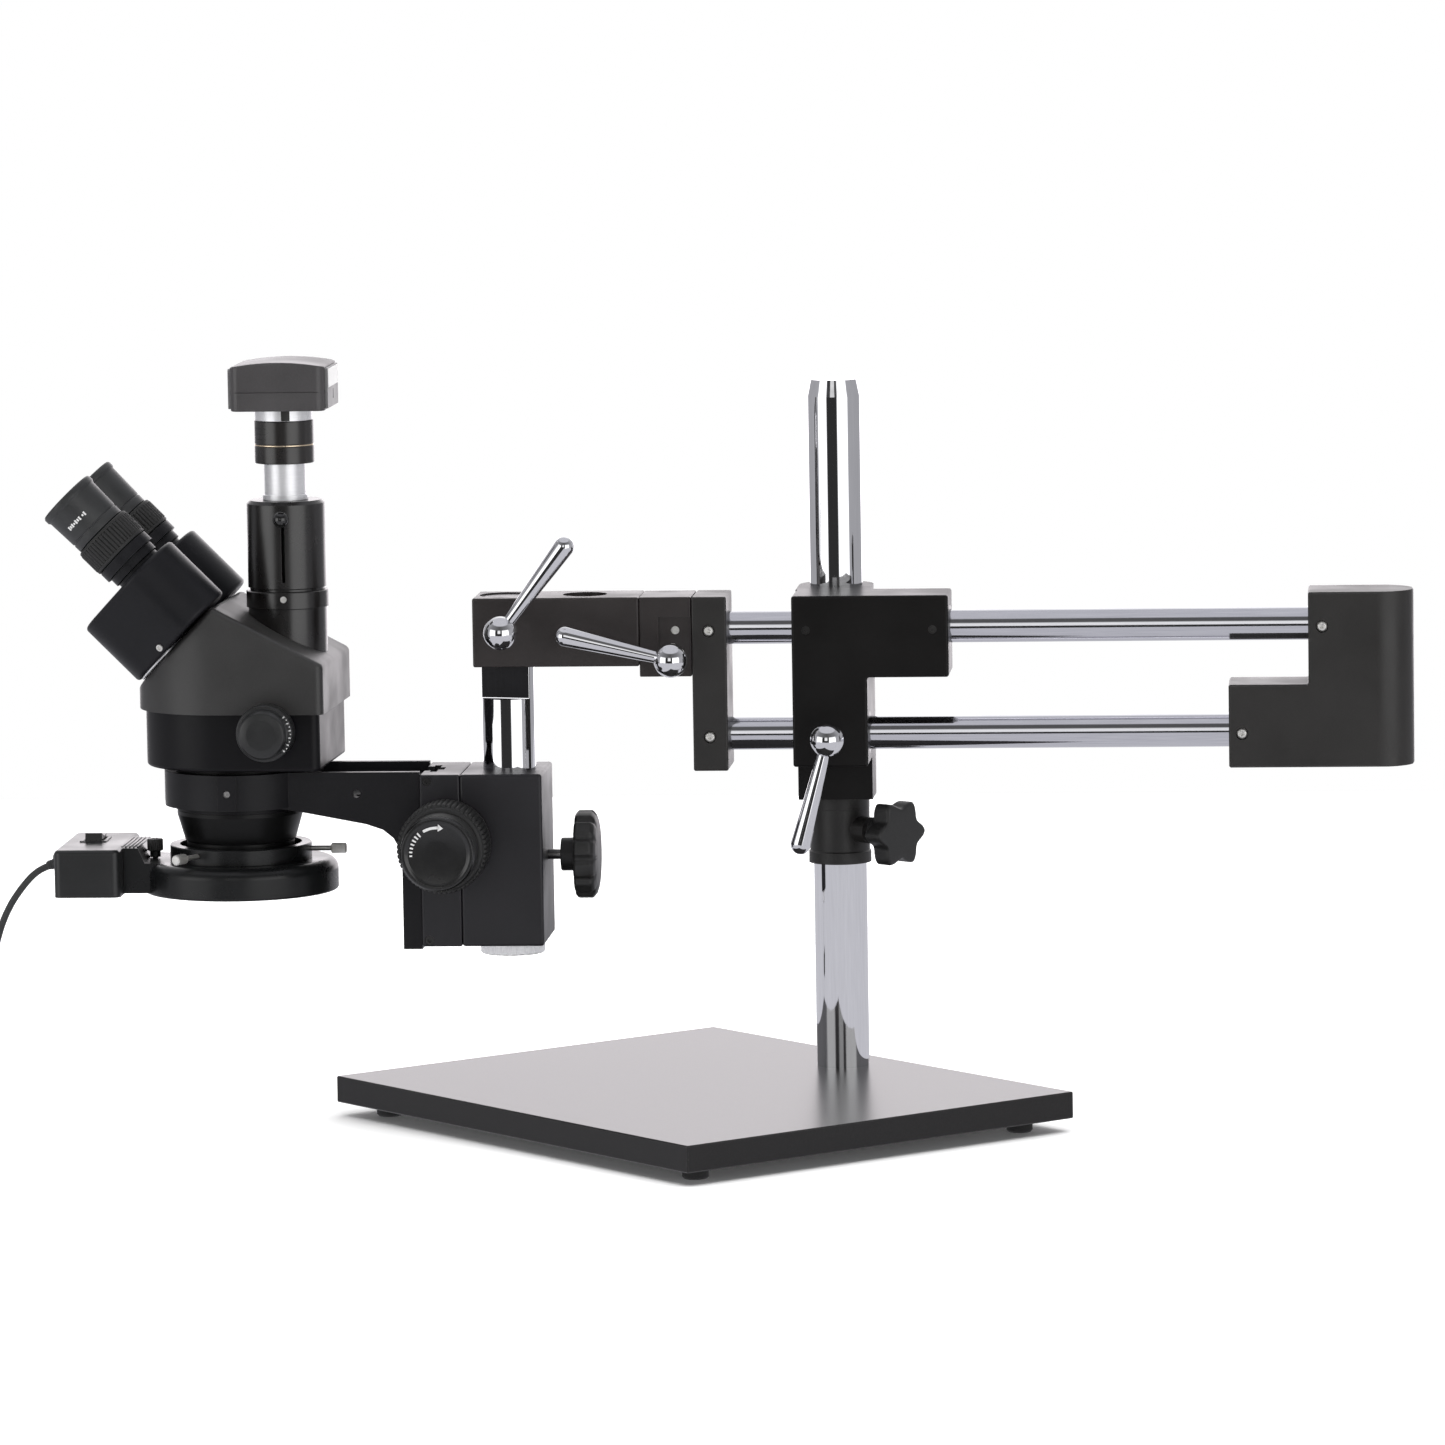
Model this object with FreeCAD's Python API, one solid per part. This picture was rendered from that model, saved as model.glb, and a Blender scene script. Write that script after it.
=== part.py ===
"""Stereo zoom microscope on a double-rod boom stand, with camera and LED ring light.

One STEP file per piece, in millimetres. The design frame has the column's axis on
X = Y = 0, the bench at Z = 0 and the boom along X, with the head at -X. The whole
model is then moved so that the origin is under the middle of its bounding box.
"""
import FreeCAD, Part
import math
import os

from FreeCAD import Vector as V

os.makedirs("parts", exist_ok=True)

# ---------------------------------------------------------------- driving dimensions
RUN = 0.06                  # radial clearance of a running fit
GAP = 0.3                   # gap between faces of pieces that move past each other

# stand
PLATE_DEEP = 288.0          # base plate, from the column's edge to the front edge
PLATE_WIDE = 352.0          # base plate, along the column's edge
PLATE_THICK = 16.0
PLATE_TURN = 42.0           # angle between the plate's depth and the boom
COLUMN_INSET = 35.2         # column axis to the plate's back edge
FOOT_H = 8.0
FOOT_R = 7.8
FOOT_INSET = 23.0
COLUMN_R = 16.0
COLUMN_TOP = 441.5
TAPER_H = 10.0
TAPER_R = 13.9

# boom
BOOM_Y = -52.4              # plane of the two rods, the post and the head
BLOCK_HALF = 22.0           # half depth of the boom's blocks
ROD_R = 10.0
ROD_HIGH = 297.0
ROD_LOW = 233.3
BLOCK_TOP = 317.4
BLOCK_LOW = 213.0
LEG_HALF = 22.4
CARRIAGE_END = 71.2
CARRIAGE_STEP = 268.4
CARRIAGE_LOW = 215.0
COLLAR_LOW = 148.7
COLLAR_FLANGE = 155.4
COLLAR_TOP = 181.8
WASHER_TOP = 190.1
COLLAR_R = 18.1
COLLAR_RIM = 18.9            # flange at the foot of the collar
FRONT_BLOCK_X = (-82.0, -61.2)
REAR_BLOCK_X = (237.2, 284.6, 347.0)
REAR_STEP = 262.5

# levers and knobs
LEVER_Y = -92.0
LEVER_BALL = 10.3
LEVER_LONG = 64.5
LEVER_R = (3.7, 6.1)
BOOM_LEVER = (-0.7, 233.3, 255.0)      # x, z and handle angle
TILT_LEVER = (-93.3, 281.5, 166.7)
POST_LEVER = (-194.6, 298.6, 52.8)
STAR_KNOB_Z = 169.4
STAR_KNOB_TURN = -40.0                 # direction from the column axis
STAR_KNOB_R = 21.0

# front arm and post
PIVOT_X = (-113.5, -82.4)
PIVOT_LOW = 269.7
ARM_X = (-213.4, -113.6)
ARM_LOW = 276.2
SPARE_BORE = (-147.5, 13.3)
POST_X = -194.8
POST_R = 16.0
POST_TOP = 316.6
POST_FLAT = (5.2, -13.5, 255.9)        # distance from the axis, turn from -Y, height of its step
CAP_R = 19.4
CAP_LOW = 101.6
CAP_TOP = 108.9

# focus block
FOCUS_X = (-245.8, -221.7, -172.5)
FOCUS_HALF = 33.0
FOCUS_Z = (109.4, 213.0)
CLAMP_Z = 160.7
CLAMP_R = 26.4
KNOB_X = -229.6
KNOB_Z = 172.2
KNOB_R = 27.0
KNOB_LONG = 32.0
TENSION_R = 22.4
TENSION_LONG = 21.0
PITCH_R = 6.0
TEETH = 12
TOOTH_PITCH = 2.0 * math.pi * PITCH_R / TEETH

# head
HEAD_X = -358.6
RING_R = 45.0
SPIGOT_R = 38.0
RING_Z = (193.2, 214.5)
HEAD_LOW = 217.5
SKIRT_Z = 252.0
HEAD_TURN = -2.0                       # the head stands turned a little in its ring
LOWER_HEAD = (-413.8, -301.4, 50.0)    # front, rear, half width
UPPER_HEAD = (-417.4, -298.2, 53.5)
HEAD_CORNERS = (5.0, 4.5)              # upright corners, lower and upper housing
HEAD_ROUND = 3.6                       # rounding of the upper housing's top edges
HEAD_WALL = 4.0
FACET_N = 481.7                        # 45 degree facet, distance along its normal
CREST = (-369.4, 319.2)
REAR_TOP = 283.8
ZOOM_X = -331.0
ZOOM_Z = 242.7

# binocular tubes, in the facet's frame: t along it, n out of it
PRISM_N = (482.8, 527.9)
PIVOT_T = -79.5
PIVOT_OFF = 26.0
EYE_T = -50.6
EYE_OFF = 37.5
PRISM_R = (22.0, 25.0)
TUBE_R = 15.0
CUP_OUT = 3.0                          # the far eyecup is pulled out this much

# photo tube and camera
TUBE_X = -326.8
PHOTO_R = 23.5
PHOTO_Z = (311.9, 322.3, 376.4)
SLOT_WIDE = 2.0
BARREL_R = 12.5
CAMERA_HALF = 30.0
CAMERA_CORNER = 5.5
CAMERA_Z = (431.3, 457.7, 460.4)

# ring light
LIGHT_R = 58.5
LIGHT_Z = (140.5, 159.5)
COLLAR_RING = (36.75, 42.7, 169.1)
BOX_X = (-466.2, -426.4)
BOX_HALF = 43.8
BOX_Z = (141.4, 170.0)
SCREW_Z = 165.2
SCREW_TURNS = {"right": 0.0, "front": 240.0, "rear": 120.0}

# cord
CORD_D = 4.2
COIL_R = 24.0                          # middle of the turns
COIL_WALL = 10.6                       # half width of the wound bundle
COIL_H = 9.2
COIL_C = (-572.0, -112.4)
PLUG = (-611.0, -127.0, 5.4)           # where the lead enters its plug

NEAR = -1.0
FAR = 1.0
SHAPES = {}


# ---------------------------------------------------------------- helpers
def block(x0, y0, z0, x1, y1, z1, fillet=0.0):
    """Box between two corners, with all its edges rounded if asked."""
    solid = Part.makeBox(x1 - x0, y1 - y0, z1 - z0, V(x0, y0, z0))
    return solid.makeFillet(fillet, solid.Edges) if fillet else solid


def rod(radius, start, end):
    """Cylinder between two points."""
    a = V(*start)
    b = V(*end)
    return Part.makeCylinder(radius, (b - a).Length, a, b - a)


def spun(points, base=(0, 0, 0), axis=(0, 0, 1)):
    """Solid of revolution: points are (radius, height) along the axis from base."""
    loop = [V(r, 0, h) for r, h in points]
    face = Part.Face(Part.makePolygon(loop + loop[:1]))
    solid = face.revolve(V(0, 0, 0), V(0, 0, 1), 360)
    turn = FreeCAD.Rotation(V(0, 0, 1), V(*axis))
    solid.Placement = FreeCAD.Placement(V(*base), turn)
    return solid


def prism_xz(points, y0, y1):
    """Polygon in the XZ plane, extruded along Y."""
    loop = [V(x, y0, z) for x, z in points]
    return Part.Face(Part.makePolygon(loop + loop[:1])).extrude(V(0, y1 - y0, 0))


def fused(first, *others):
    return first.multiFuse(list(others)).removeSplitter()


def cut(solid, *tools):
    return solid.cut(list(tools))


def facet_place(solid):
    """Take a solid from the facet's frame (t, y, n) to the design frame."""
    s = math.sqrt(0.5)
    matrix = FreeCAD.Matrix(s, 0, -s, 0, 0, 1, 0, 0, s, 0, s, 0, 0, 0, 0, 1)
    moved = solid.copy()
    moved.Placement = FreeCAD.Placement(matrix).multiply(moved.Placement)
    return moved


def keep(name, *solids):
    """Store a node: one solid, or several of the same kind."""
    SHAPES[name] = solids[0] if len(solids) == 1 else Part.makeCompound(list(solids))


def lobed_disc(radius, thick, lobes, bite, depth):
    """Disc with scallops round its rim, standing on Z = 0."""
    disc = Part.makeCylinder(radius, thick)
    disc = disc.makeFillet(1.5, disc.Edges)
    cuts = []
    for k in range(lobes):
        turn = 2 * math.pi * (k + 0.5) / lobes
        far = radius + bite - depth
        centre = V(far * math.cos(turn), far * math.sin(turn), -1)
        cuts.append(Part.makeCylinder(bite, thick + 2, centre))
    return disc.cut(cuts)


def aimed(solid, base, axis):
    """Move a solid built along +Z so that it stands on base along axis."""
    moved = solid.copy()
    turn = FreeCAD.Rotation(V(0, 0, 1), V(*axis))
    moved.Placement = FreeCAD.Placement(V(*base), turn).multiply(moved.Placement)
    return moved


# ---------------------------------------------------------------- stand
TURN = math.radians(PLATE_TURN)
DEEP_DIR = V(-math.cos(TURN), -math.sin(TURN), 0)
WIDE_DIR = V(math.sin(TURN), -math.cos(TURN), 0)
PLATE_TOP = FOOT_H + PLATE_THICK


def plate_point(deep, wide, z):
    """Point at fractions of the plate's half depth and half width."""
    middle = DEEP_DIR * (PLATE_DEEP / 2 - COLUMN_INSET)
    return middle + DEEP_DIR * deep + WIDE_DIR * wide + V(0, 0, z)


def build_stand():
    plate = block(-PLATE_DEEP / 2, -PLATE_WIDE / 2, 0, PLATE_DEEP / 2, PLATE_WIDE / 2, PLATE_THICK)
    plate = plate.makeChamfer(0.7, plate.Edges)
    spin = FreeCAD.Rotation(V(0, 0, 1), 180 + PLATE_TURN)
    plate.Placement = FreeCAD.Placement(plate_point(0, 0, FOOT_H), spin)
    feet = []
    for i in (-1, 1):
        for j in (-1, 1):
            deep = i * (PLATE_DEEP / 2 - FOOT_INSET)
            wide = j * (PLATE_WIDE / 2 - FOOT_INSET)
            p = plate_point(deep, wide, 0)
            shape = [(0, 0), (FOOT_R - 1, 0), (FOOT_R, 1.2), (FOOT_R, FOOT_H), (3, FOOT_H),
                     (3, FOOT_H + 5), (0, FOOT_H + 5)]
            feet.append(spun(shape, (p.x, p.y, 0)))
            plate = cut(plate, rod(3.02, (p.x, p.y, FOOT_H - 1), (p.x, p.y, FOOT_H + 5.2)))
    keep("base_plate", cut(plate, rod(6.1, (0, 0, 0), (0, 0, 60))))
    keep("rubber_feet", *feet)
    outline = [(0, FOOT_H + 1), (6, FOOT_H + 1), (6, PLATE_TOP), (COLUMN_R, PLATE_TOP),
               (COLUMN_R, COLUMN_TOP - TAPER_H), (TAPER_R, COLUMN_TOP), (0, COLUMN_TOP)]
    keep("column", spun(outline))


def build_collar():
    bore = COLUMN_R + RUN
    outline = [(bore, COLLAR_LOW), (COLLAR_RIM, COLLAR_LOW), (COLLAR_RIM, COLLAR_FLANGE),
               (COLLAR_R, COLLAR_FLANGE + 0.8), (COLLAR_R, COLLAR_TOP), (bore, COLLAR_TOP)]
    a = math.radians(STAR_KNOB_TURN)
    out = V(math.cos(a), math.sin(a), 0)

    def at(reach):
        return (out.x * reach, out.y * reach, STAR_KNOB_Z)

    collar = fused(spun(outline), rod(8.0, at(15), at(26.0)))
    hollow = rod(bore, (0, 0, 100), (0, 0, 230))
    keep("height_collar", cut(collar, hollow, rod(3.0 + RUN, at(10), at(30))))
    keep("thrust_washer", spun([(bore, COLLAR_TOP + 0.05), (COLLAR_R + 0.1, COLLAR_TOP + 0.05),
                                (COLLAR_R + 0.1, WASHER_TOP), (bore, WASHER_TOP)]))
    star = aimed(lobed_disc(STAR_KNOB_R, 13.0, 6, 8.0, 4.0), at(39.5), out)
    hub = rod(9.0, at(30.0), at(41.0))
    screw = rod(3.0, at(16.4), at(41.0))
    keep("collar_knob", fused(star, hub, screw))


# ---------------------------------------------------------------- boom
def front_hole(x, z, radius, y_end):
    """Hole drilled from in front of the boom's blocks, back to y_end."""
    return rod(radius, (x, BOOM_Y - 60, z), (x, y_end, z))


def lever(x, z, angle, face_y, tip_y):
    """Clamp lever: ball and tapered handle in one, with a neck and a stud along Y."""
    a = math.radians(angle)
    thin, thick = LEVER_R
    meet = math.sqrt(LEVER_BALL ** 2 - thin ** 2)
    side = math.sqrt(0.5)
    ball = Part.Arc(V(0, 0, -LEVER_BALL), V(LEVER_BALL, 0, 0), V(thin, 0, meet))
    taper = Part.LineSegment(V(thin, 0, meet), V(thick, 0, LEVER_LONG))
    dome = Part.Arc(V(thick, 0, LEVER_LONG), V(thick * side, 0, LEVER_LONG + thick * side),
                    V(0, 0, LEVER_LONG + thick))
    spine = Part.LineSegment(V(0, 0, LEVER_LONG + thick), V(0, 0, -LEVER_BALL))
    outline = Part.Wire([ball.toShape(), taper.toShape(), dome.toShape(), spine.toShape()])
    handle = Part.Face(outline).revolve(V(0, 0, 0), V(0, 0, 1), 360)
    handle = aimed(handle, (x, LEVER_Y, z), (math.cos(a), 0, math.sin(a)))
    neck = rod(6.0, (x, face_y - GAP, z), (x, LEVER_Y + 4, z))
    stud = rod(4.0, (x, tip_y, z), (x, LEVER_Y + 5, z))
    return fused(handle, fused(neck, stud))


def build_carriage():
    y0 = BOOM_Y - BLOCK_HALF
    y1 = BOOM_Y + BLOCK_HALF
    outline = [(-LEG_HALF, CARRIAGE_LOW), (LEG_HALF, CARRIAGE_LOW), (LEG_HALF, CARRIAGE_STEP),
               (CARRIAGE_END, CARRIAGE_STEP), (CARRIAGE_END, BLOCK_TOP), (-LEG_HALF, BLOCK_TOP)]
    front = prism_xz(outline, y0, y1)
    front = front.makeFillet(1.6, front.Edges)
    low = WASHER_TOP + GAP
    boss = fused(block(-LEG_HALF, y1 - 4, low, LEG_HALF, 0, BLOCK_TOP - 0.01),
                 rod(LEG_HALF, (0, 0, low), (0, 0, BLOCK_TOP - 0.01)))
    body = fused(front, boss)
    rods = []
    bushes = []
    ends = {ROD_HIGH: CARRIAGE_END, ROD_LOW: LEG_HALF}
    for z, far in ends.items():
        rods.append(rod(ROD_R + 0.5, (-60, BOOM_Y, z), (100, BOOM_Y, z)))
        for a, b in ((-LEG_HALF, -LEG_HALF + 12), (far - 12, far)):
            rods.append(rod(12.5, (a - 0.01, BOOM_Y, z), (b + 0.01, BOOM_Y, z)))
            ring = rod(12.48, (a + 0.3, BOOM_Y, z), (b, BOOM_Y, z))
            bushes.append(cut(ring, rod(ROD_R + RUN, (a - 1, BOOM_Y, z), (b + 1, BOOM_Y, z))))
    bore = rod(COLUMN_R + RUN, (0, 0, 100), (0, 0, 500))
    stud = front_hole(BOOM_LEVER[0], BOOM_LEVER[1], 4.0 + RUN, BOOM_Y)
    screws = [front_hole(-13.8, ROD_HIGH, 2.5, y0 + 5), front_hole(61.7, ROD_HIGH, 2.5, y0 + 5)]
    keep("carriage_block", cut(body, bore, stud, *rods, *screws))
    keep("rod_bushes", *bushes)
    keep("boom_clamp_lever", lever(*BOOM_LEVER, y0, BOOM_Y - ROD_R - 0.5))


def build_boom():
    y0 = BOOM_Y - BLOCK_HALF
    y1 = BOOM_Y + BLOCK_HALF
    high = rod(ROD_R, (-112.0, BOOM_Y, ROD_HIGH), (326.0, BOOM_Y, ROD_HIGH))
    groove = cut(rod(ROD_R + 1, (-94, BOOM_Y, ROD_HIGH), (-90, BOOM_Y, ROD_HIGH)),
                 rod(8.5, (-95, BOOM_Y, ROD_HIGH), (-89, BOOM_Y, ROD_HIGH)))
    keep("upper_rod", cut(high, groove))
    keep("lower_rod", rod(ROD_R, (-80.0, BOOM_Y, ROD_LOW), (331.0, BOOM_Y, ROD_LOW)))
    snug = ROD_R + 0.03
    front = block(FRONT_BLOCK_X[0], y0, BLOCK_LOW, FRONT_BLOCK_X[1], y1, BLOCK_TOP, 1.2)
    front = cut(front, rod(snug, (-90, BOOM_Y, ROD_HIGH), (-50, BOOM_Y, ROD_HIGH)),
                rod(snug, (-80.2, BOOM_Y, ROD_LOW), (-50, BOOM_Y, ROD_LOW)))
    low_x, high_x, end_x = REAR_BLOCK_X
    outline = [(low_x, BLOCK_LOW), (end_x, BLOCK_LOW), (end_x, BLOCK_TOP),
               (high_x, BLOCK_TOP), (high_x, REAR_STEP), (low_x, REAR_STEP)]
    rear = prism_xz(outline, y0, y1)
    rear = rear.makeChamfer(0.9, rear.Edges)
    round_x = end_x - BLOCK_HALF
    plan = fused(block(low_x, y0, BLOCK_LOW, round_x, y1, BLOCK_TOP),
                 rod(BLOCK_HALF, (round_x, BOOM_Y, BLOCK_LOW), (round_x, BOOM_Y, BLOCK_TOP)))
    rear = rear.common(plan)
    rear = cut(rear, rod(snug, (200, BOOM_Y, ROD_HIGH), (326.2, BOOM_Y, ROD_HIGH)),
               rod(snug, (200, BOOM_Y, ROD_LOW), (331.2, BOOM_Y, ROD_LOW)))
    screws = []
    places = ((-72.0, ROD_HIGH), (-72.0, ROD_LOW), (292.8, ROD_HIGH), (245.0, ROD_LOW))
    for x, z in places:
        hole = fused(front_hole(x, z, 3.8, y0 + 2.4), front_hole(x, z, 2.03, BOOM_Y - 11))
        if x < 0:
            front = cut(front, hole)
        else:
            rear = cut(rear, hole)
        head = spun([(0, 0), (2, 0), (2, 8.4), (3.4, 8.4), (3.4, 9.6), (2.2, 10.6), (0, 10.8)],
                    (x, BOOM_Y - 11.2, z), (0, -1, 0))
        screws.append(head)
    keep("front_end_block", front)
    keep("rear_end_block", rear)
    keep("end_block_screws", *screws)


def build_arm():
    y0 = BOOM_Y - BLOCK_HALF
    y1 = BOOM_Y + BLOCK_HALF
    pivot = block(PIVOT_X[0], y0 + 1.4, PIVOT_LOW, PIVOT_X[1], y1 - 1.4, BLOCK_TOP, 0.8)
    bore = rod(ROD_R + RUN, (-130, BOOM_Y, ROD_HIGH), (-60, BOOM_Y, ROD_HIGH))
    slit = block(-130, BOOM_Y - 1, PIVOT_LOW - 5, -60, BOOM_Y + 1, ROD_HIGH)
    pocket = block(-102.2, y0, PIVOT_LOW - 5, -60, y0 + 2.6, 305.6)
    stud = front_hole(TILT_LEVER[0], TILT_LEVER[1], 4.0 + RUN, BOOM_Y + 12)
    screw = front_hole(-92.0, 297.4, 2.5, BOOM_Y - 11)
    keep("pivot_block", cut(pivot, bore, slit, pocket, stud, screw))
    arm = block(ARM_X[0], y0, ARM_LOW, ARM_X[1], y1, BLOCK_TOP + 0.2, 1.2)
    post = rod(POST_R + RUN, (POST_X, BOOM_Y, 200), (POST_X, BOOM_Y, 400))
    spare = rod(SPARE_BORE[1], (SPARE_BORE[0], BOOM_Y, 200), (SPARE_BORE[0], BOOM_Y, 400))
    hole = front_hole(POST_LEVER[0], POST_LEVER[1], 4.0 + RUN, BOOM_Y)
    keep("front_arm", cut(arm, post, spare, hole))
    keep("tilt_clamp_lever", lever(*TILT_LEVER, y0 + 2.6, BOOM_Y + 11))
    keep("post_clamp_lever", lever(*POST_LEVER, y0, BOOM_Y - POST_R - 0.5))
    deep, turned, step = POST_FLAT
    tube = spun([(12.5, CAP_TOP + 0.02), (POST_R, CAP_TOP + 0.02), (POST_R, POST_TOP - 0.8),
                 (POST_R - 0.8, POST_TOP), (0, POST_TOP), (0, step - 12.0), (12.5, step - 12.0)],
                (POST_X, BOOM_Y, 0))
    flat = block(-20, -30, step, 20, -deep, POST_TOP + 5)
    flat.rotate(V(0, 0, 0), V(0, 0, 1), turned)
    flat.translate(V(POST_X, BOOM_Y, 0))
    keep("front_post", cut(tube, flat))
    cap = spun([(0, CAP_LOW), (CAP_R - 0.8, CAP_LOW), (CAP_R, CAP_LOW + 0.8),
                (CAP_R, CAP_TOP - 0.8), (CAP_R - 0.8, CAP_TOP), (12.46, CAP_TOP),
                (12.46, CAP_TOP + 18), (0, CAP_TOP + 18)], (POST_X, BOOM_Y, 0))
    grooves = []
    for k in range(24):
        turn = 2 * math.pi * k / 24
        x = POST_X + (CAP_R + 0.6) * math.cos(turn)
        y = BOOM_Y + (CAP_R + 0.6) * math.sin(turn)
        grooves.append(rod(1.3, (x, y, CAP_LOW - 1), (x, y, CAP_TOP + 0.5)))
    keep("post_stop_cap", cap.cut(grooves))


# ---------------------------------------------------------------- focus block
def rack_outline():
    """Rack profile in X and Z: a bar with straight-sided teeth towards the pinion."""
    pitch_x = KNOB_X - PITCH_R
    root = pitch_x - 1.1
    tip = pitch_x + 0.85
    points = [(root - 1.6, KNOB_Z - 15.5 * TOOTH_PITCH), (root, KNOB_Z - 15.5 * TOOTH_PITCH)]
    for k in range(-15, 11):
        z = KNOB_Z + (k - 0.5) * TOOTH_PITCH
        points += [(root, z - 1.0), (tip, z - 0.32), (tip, z + 0.32), (root, z + 1.0)]
    points += [(root, KNOB_Z + 10.5 * TOOTH_PITCH), (root - 1.6, KNOB_Z + 10.5 * TOOTH_PITCH)]
    return points


def pinion():
    """Twelve-tooth pinion about Y, with a tooth pointing at the rack."""
    points = []
    for k in range(TEETH):
        middle = math.pi + 2 * math.pi * k / TEETH
        for radius, half in ((4.8, -0.9), (6.8, -0.3), (6.8, 0.3), (4.8, 0.9)):
            a = middle + half / radius
            points.append((KNOB_X + radius * math.cos(a), KNOB_Z + radius * math.sin(a)))
    return prism_xz(points, BOOM_Y - 4.8, BOOM_Y + 4.8)


def build_focus():
    y0 = BOOM_Y - FOCUS_HALF
    y1 = BOOM_Y + FOCUS_HALF
    z0, z1 = FOCUS_Z
    left, seam, right = FOCUS_X
    clamp = block(seam, y0, z0, right, y1, z1, 1.8)
    clamp = cut(clamp, rod(POST_R + RUN, (POST_X, BOOM_Y, 50), (POST_X, BOOM_Y, 300)),
                rod(3.0 + RUN, (POST_X, BOOM_Y, CLAMP_Z), (right + 5, BOOM_Y, CLAMP_Z)))
    keep("focus_block", clamp)
    housing = block(left, y0, z0, seam - 0.05, y1, z1, 1.2)

    def slot(x0, x1, half):
        return block(x0, BOOM_Y - half, z0 - 5, x1, BOOM_Y + half, z1 + 5)

    chamber = rod(7.4, (KNOB_X, BOOM_Y - 6, KNOB_Z), (KNOB_X, BOOM_Y + 6, KNOB_Z))
    shaft = rod(4.0 + RUN, (KNOB_X, y0 - 5, KNOB_Z), (KNOB_X, y1 + 5, KNOB_Z))
    screw = fused(rod(2.9, (-241.4, y0 - 1, 209.2), (-241.4, y0 + 3.0, 209.2)),
                  rod(2.9, (-241.4, y0 - 1, 113.2), (-241.4, y0 + 3.0, 113.2)))
    keep("rack_housing", cut(housing, slot(left - 5, -240.9, 10.3), slot(-241.5, -237.2, 16.3),
                             slot(-238.5, -233.9, 5.6), chamber, shaft, screw))
    knob = aimed(lobed_disc(CLAMP_R, 12.0, 12, 4.5, 1.9), (-155.5, BOOM_Y, CLAMP_Z), (1, 0, 0))
    crown = spun([(0, 0), (CLAMP_R - 3.5, 0), (CLAMP_R - 8, 1.4), (0, 2.2)],
                 (-143.6, BOOM_Y, CLAMP_Z), (1, 0, 0))
    hub = rod(10.0, (-164.4, BOOM_Y, CLAMP_Z), (-155.0, BOOM_Y, CLAMP_Z))
    screw = rod(3.0, (POST_X + POST_R + 0.4, BOOM_Y, CLAMP_Z), (-155.0, BOOM_Y, CLAMP_Z))
    keep("post_clamp_knob", fused(knob, crown, hub, screw))
    reach = FOCUS_HALF + 2.0 + KNOB_LONG
    axle = rod(4.0, (KNOB_X, BOOM_Y - reach, KNOB_Z), (KNOB_X, BOOM_Y + reach, KNOB_Z))
    keep("pinion_shaft", fused(pinion(), axle))
    knobs = []
    caps = []
    for side in (NEAR, FAR):
        start = (KNOB_X, BOOM_Y + side * (FOCUS_HALF + 2.0), KNOB_Z)
        grip = spun([(4.03, 0), (KNOB_R - 3, 0), (KNOB_R, 3), (KNOB_R, KNOB_LONG - 2.5),
                     (KNOB_R - 2.5, KNOB_LONG), (4.03, KNOB_LONG)], start, (0, side, 0))
        knobs.append(grip)
        start = (KNOB_X, start[1] + side * (KNOB_LONG + 0.05), KNOB_Z)
        caps.append(spun([(0, 0), (TENSION_R, 0), (TENSION_R, TENSION_LONG - 2),
                          (TENSION_R - 2, TENSION_LONG), (TENSION_R - 4, TENSION_LONG - 0.6),
                          (0, TENSION_LONG - 0.6)], start, (0, side, 0)))
    keep("focus_knobs", *knobs)
    keep("tension_caps", *caps)


def build_focus_arm():
    z0, z1 = RING_Z
    half = 30.0
    face = FOCUS_X[0] - GAP
    ring = rod(RING_R, (HEAD_X, BOOM_Y, z0), (HEAD_X, BOOM_Y, z1))
    boss = block(HEAD_X - 7.3, BOOM_Y - RING_R - 0.8, z0, HEAD_X + 4.1, BOOM_Y - 38, z1)
    outline = [(-334, z0), (-322, z0 - 1.6), (-278.5, 183.2), (-268.5, 179.8), (-262.4, 174.8),
               (-258.8, 168.5), (-257.4, 160), (-257.4, 107.6), (face, 107.6), (face, z1),
               (-334, z1)]
    arm = prism_xz(outline, BOOM_Y - half, BOOM_Y + half)
    body = fused(ring, boss, arm)
    pocket = block(-311, BOOM_Y - half + 5, 200.0, face + 1, BOOM_Y + half - 5, z1 + 1)
    hole = rod(2.4, (-284.0, BOOM_Y - 40, 201.6), (-284.0, BOOM_Y - 20, 201.6))
    screw = rod(2.0, (HEAD_X - 1.6, BOOM_Y - 50, 203.4), (HEAD_X - 1.6, BOOM_Y - 30, 203.4))
    bore = rod(SPIGOT_R + RUN, (HEAD_X, BOOM_Y, 150), (HEAD_X, BOOM_Y, 250))
    keep("focus_arm", cut(body, pocket, hole, screw, bore))
    head = block(-241.1, BOOM_Y - 16, 109.4, -237.5, BOOM_Y + 16, 199.4)
    neck = block(face + 0.02, BOOM_Y - 10, 109.4, -241.1, BOOM_Y + 10, 199.4)
    keep("dovetail_rail", fused(head, neck))
    rack = prism_xz(rack_outline(), BOOM_Y - 5, BOOM_Y + 5)
    bar_x = KNOB_X - PITCH_R - 1.1 - 1.6
    rack = cut(rack, block(bar_x - 5, BOOM_Y - 9, 50, -237.48, BOOM_Y + 9, 300))
    keep("focus_rack", rack)


# ---------------------------------------------------------------- head
def d_plan(front, rear, half, corner, z0, z1):
    """Body with a half-round front and a square rear with rounded corners."""
    middle = front + half
    nose = rod(half, (middle, BOOM_Y, z0), (middle, BOOM_Y, z1))
    long_box = block(middle, BOOM_Y - half, z0, rear - corner, BOOM_Y + half, z1)
    tail = block(middle, BOOM_Y - half + corner, z0, rear, BOOM_Y + half - corner, z1)
    rounds = []
    for side in (NEAR, FAR):
        y = BOOM_Y + side * (half - corner)
        rounds.append(rod(corner, (rear - corner, y, z0), (rear - corner, y, z1)))
    return fused(nose, long_box, tail, *rounds)


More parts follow.
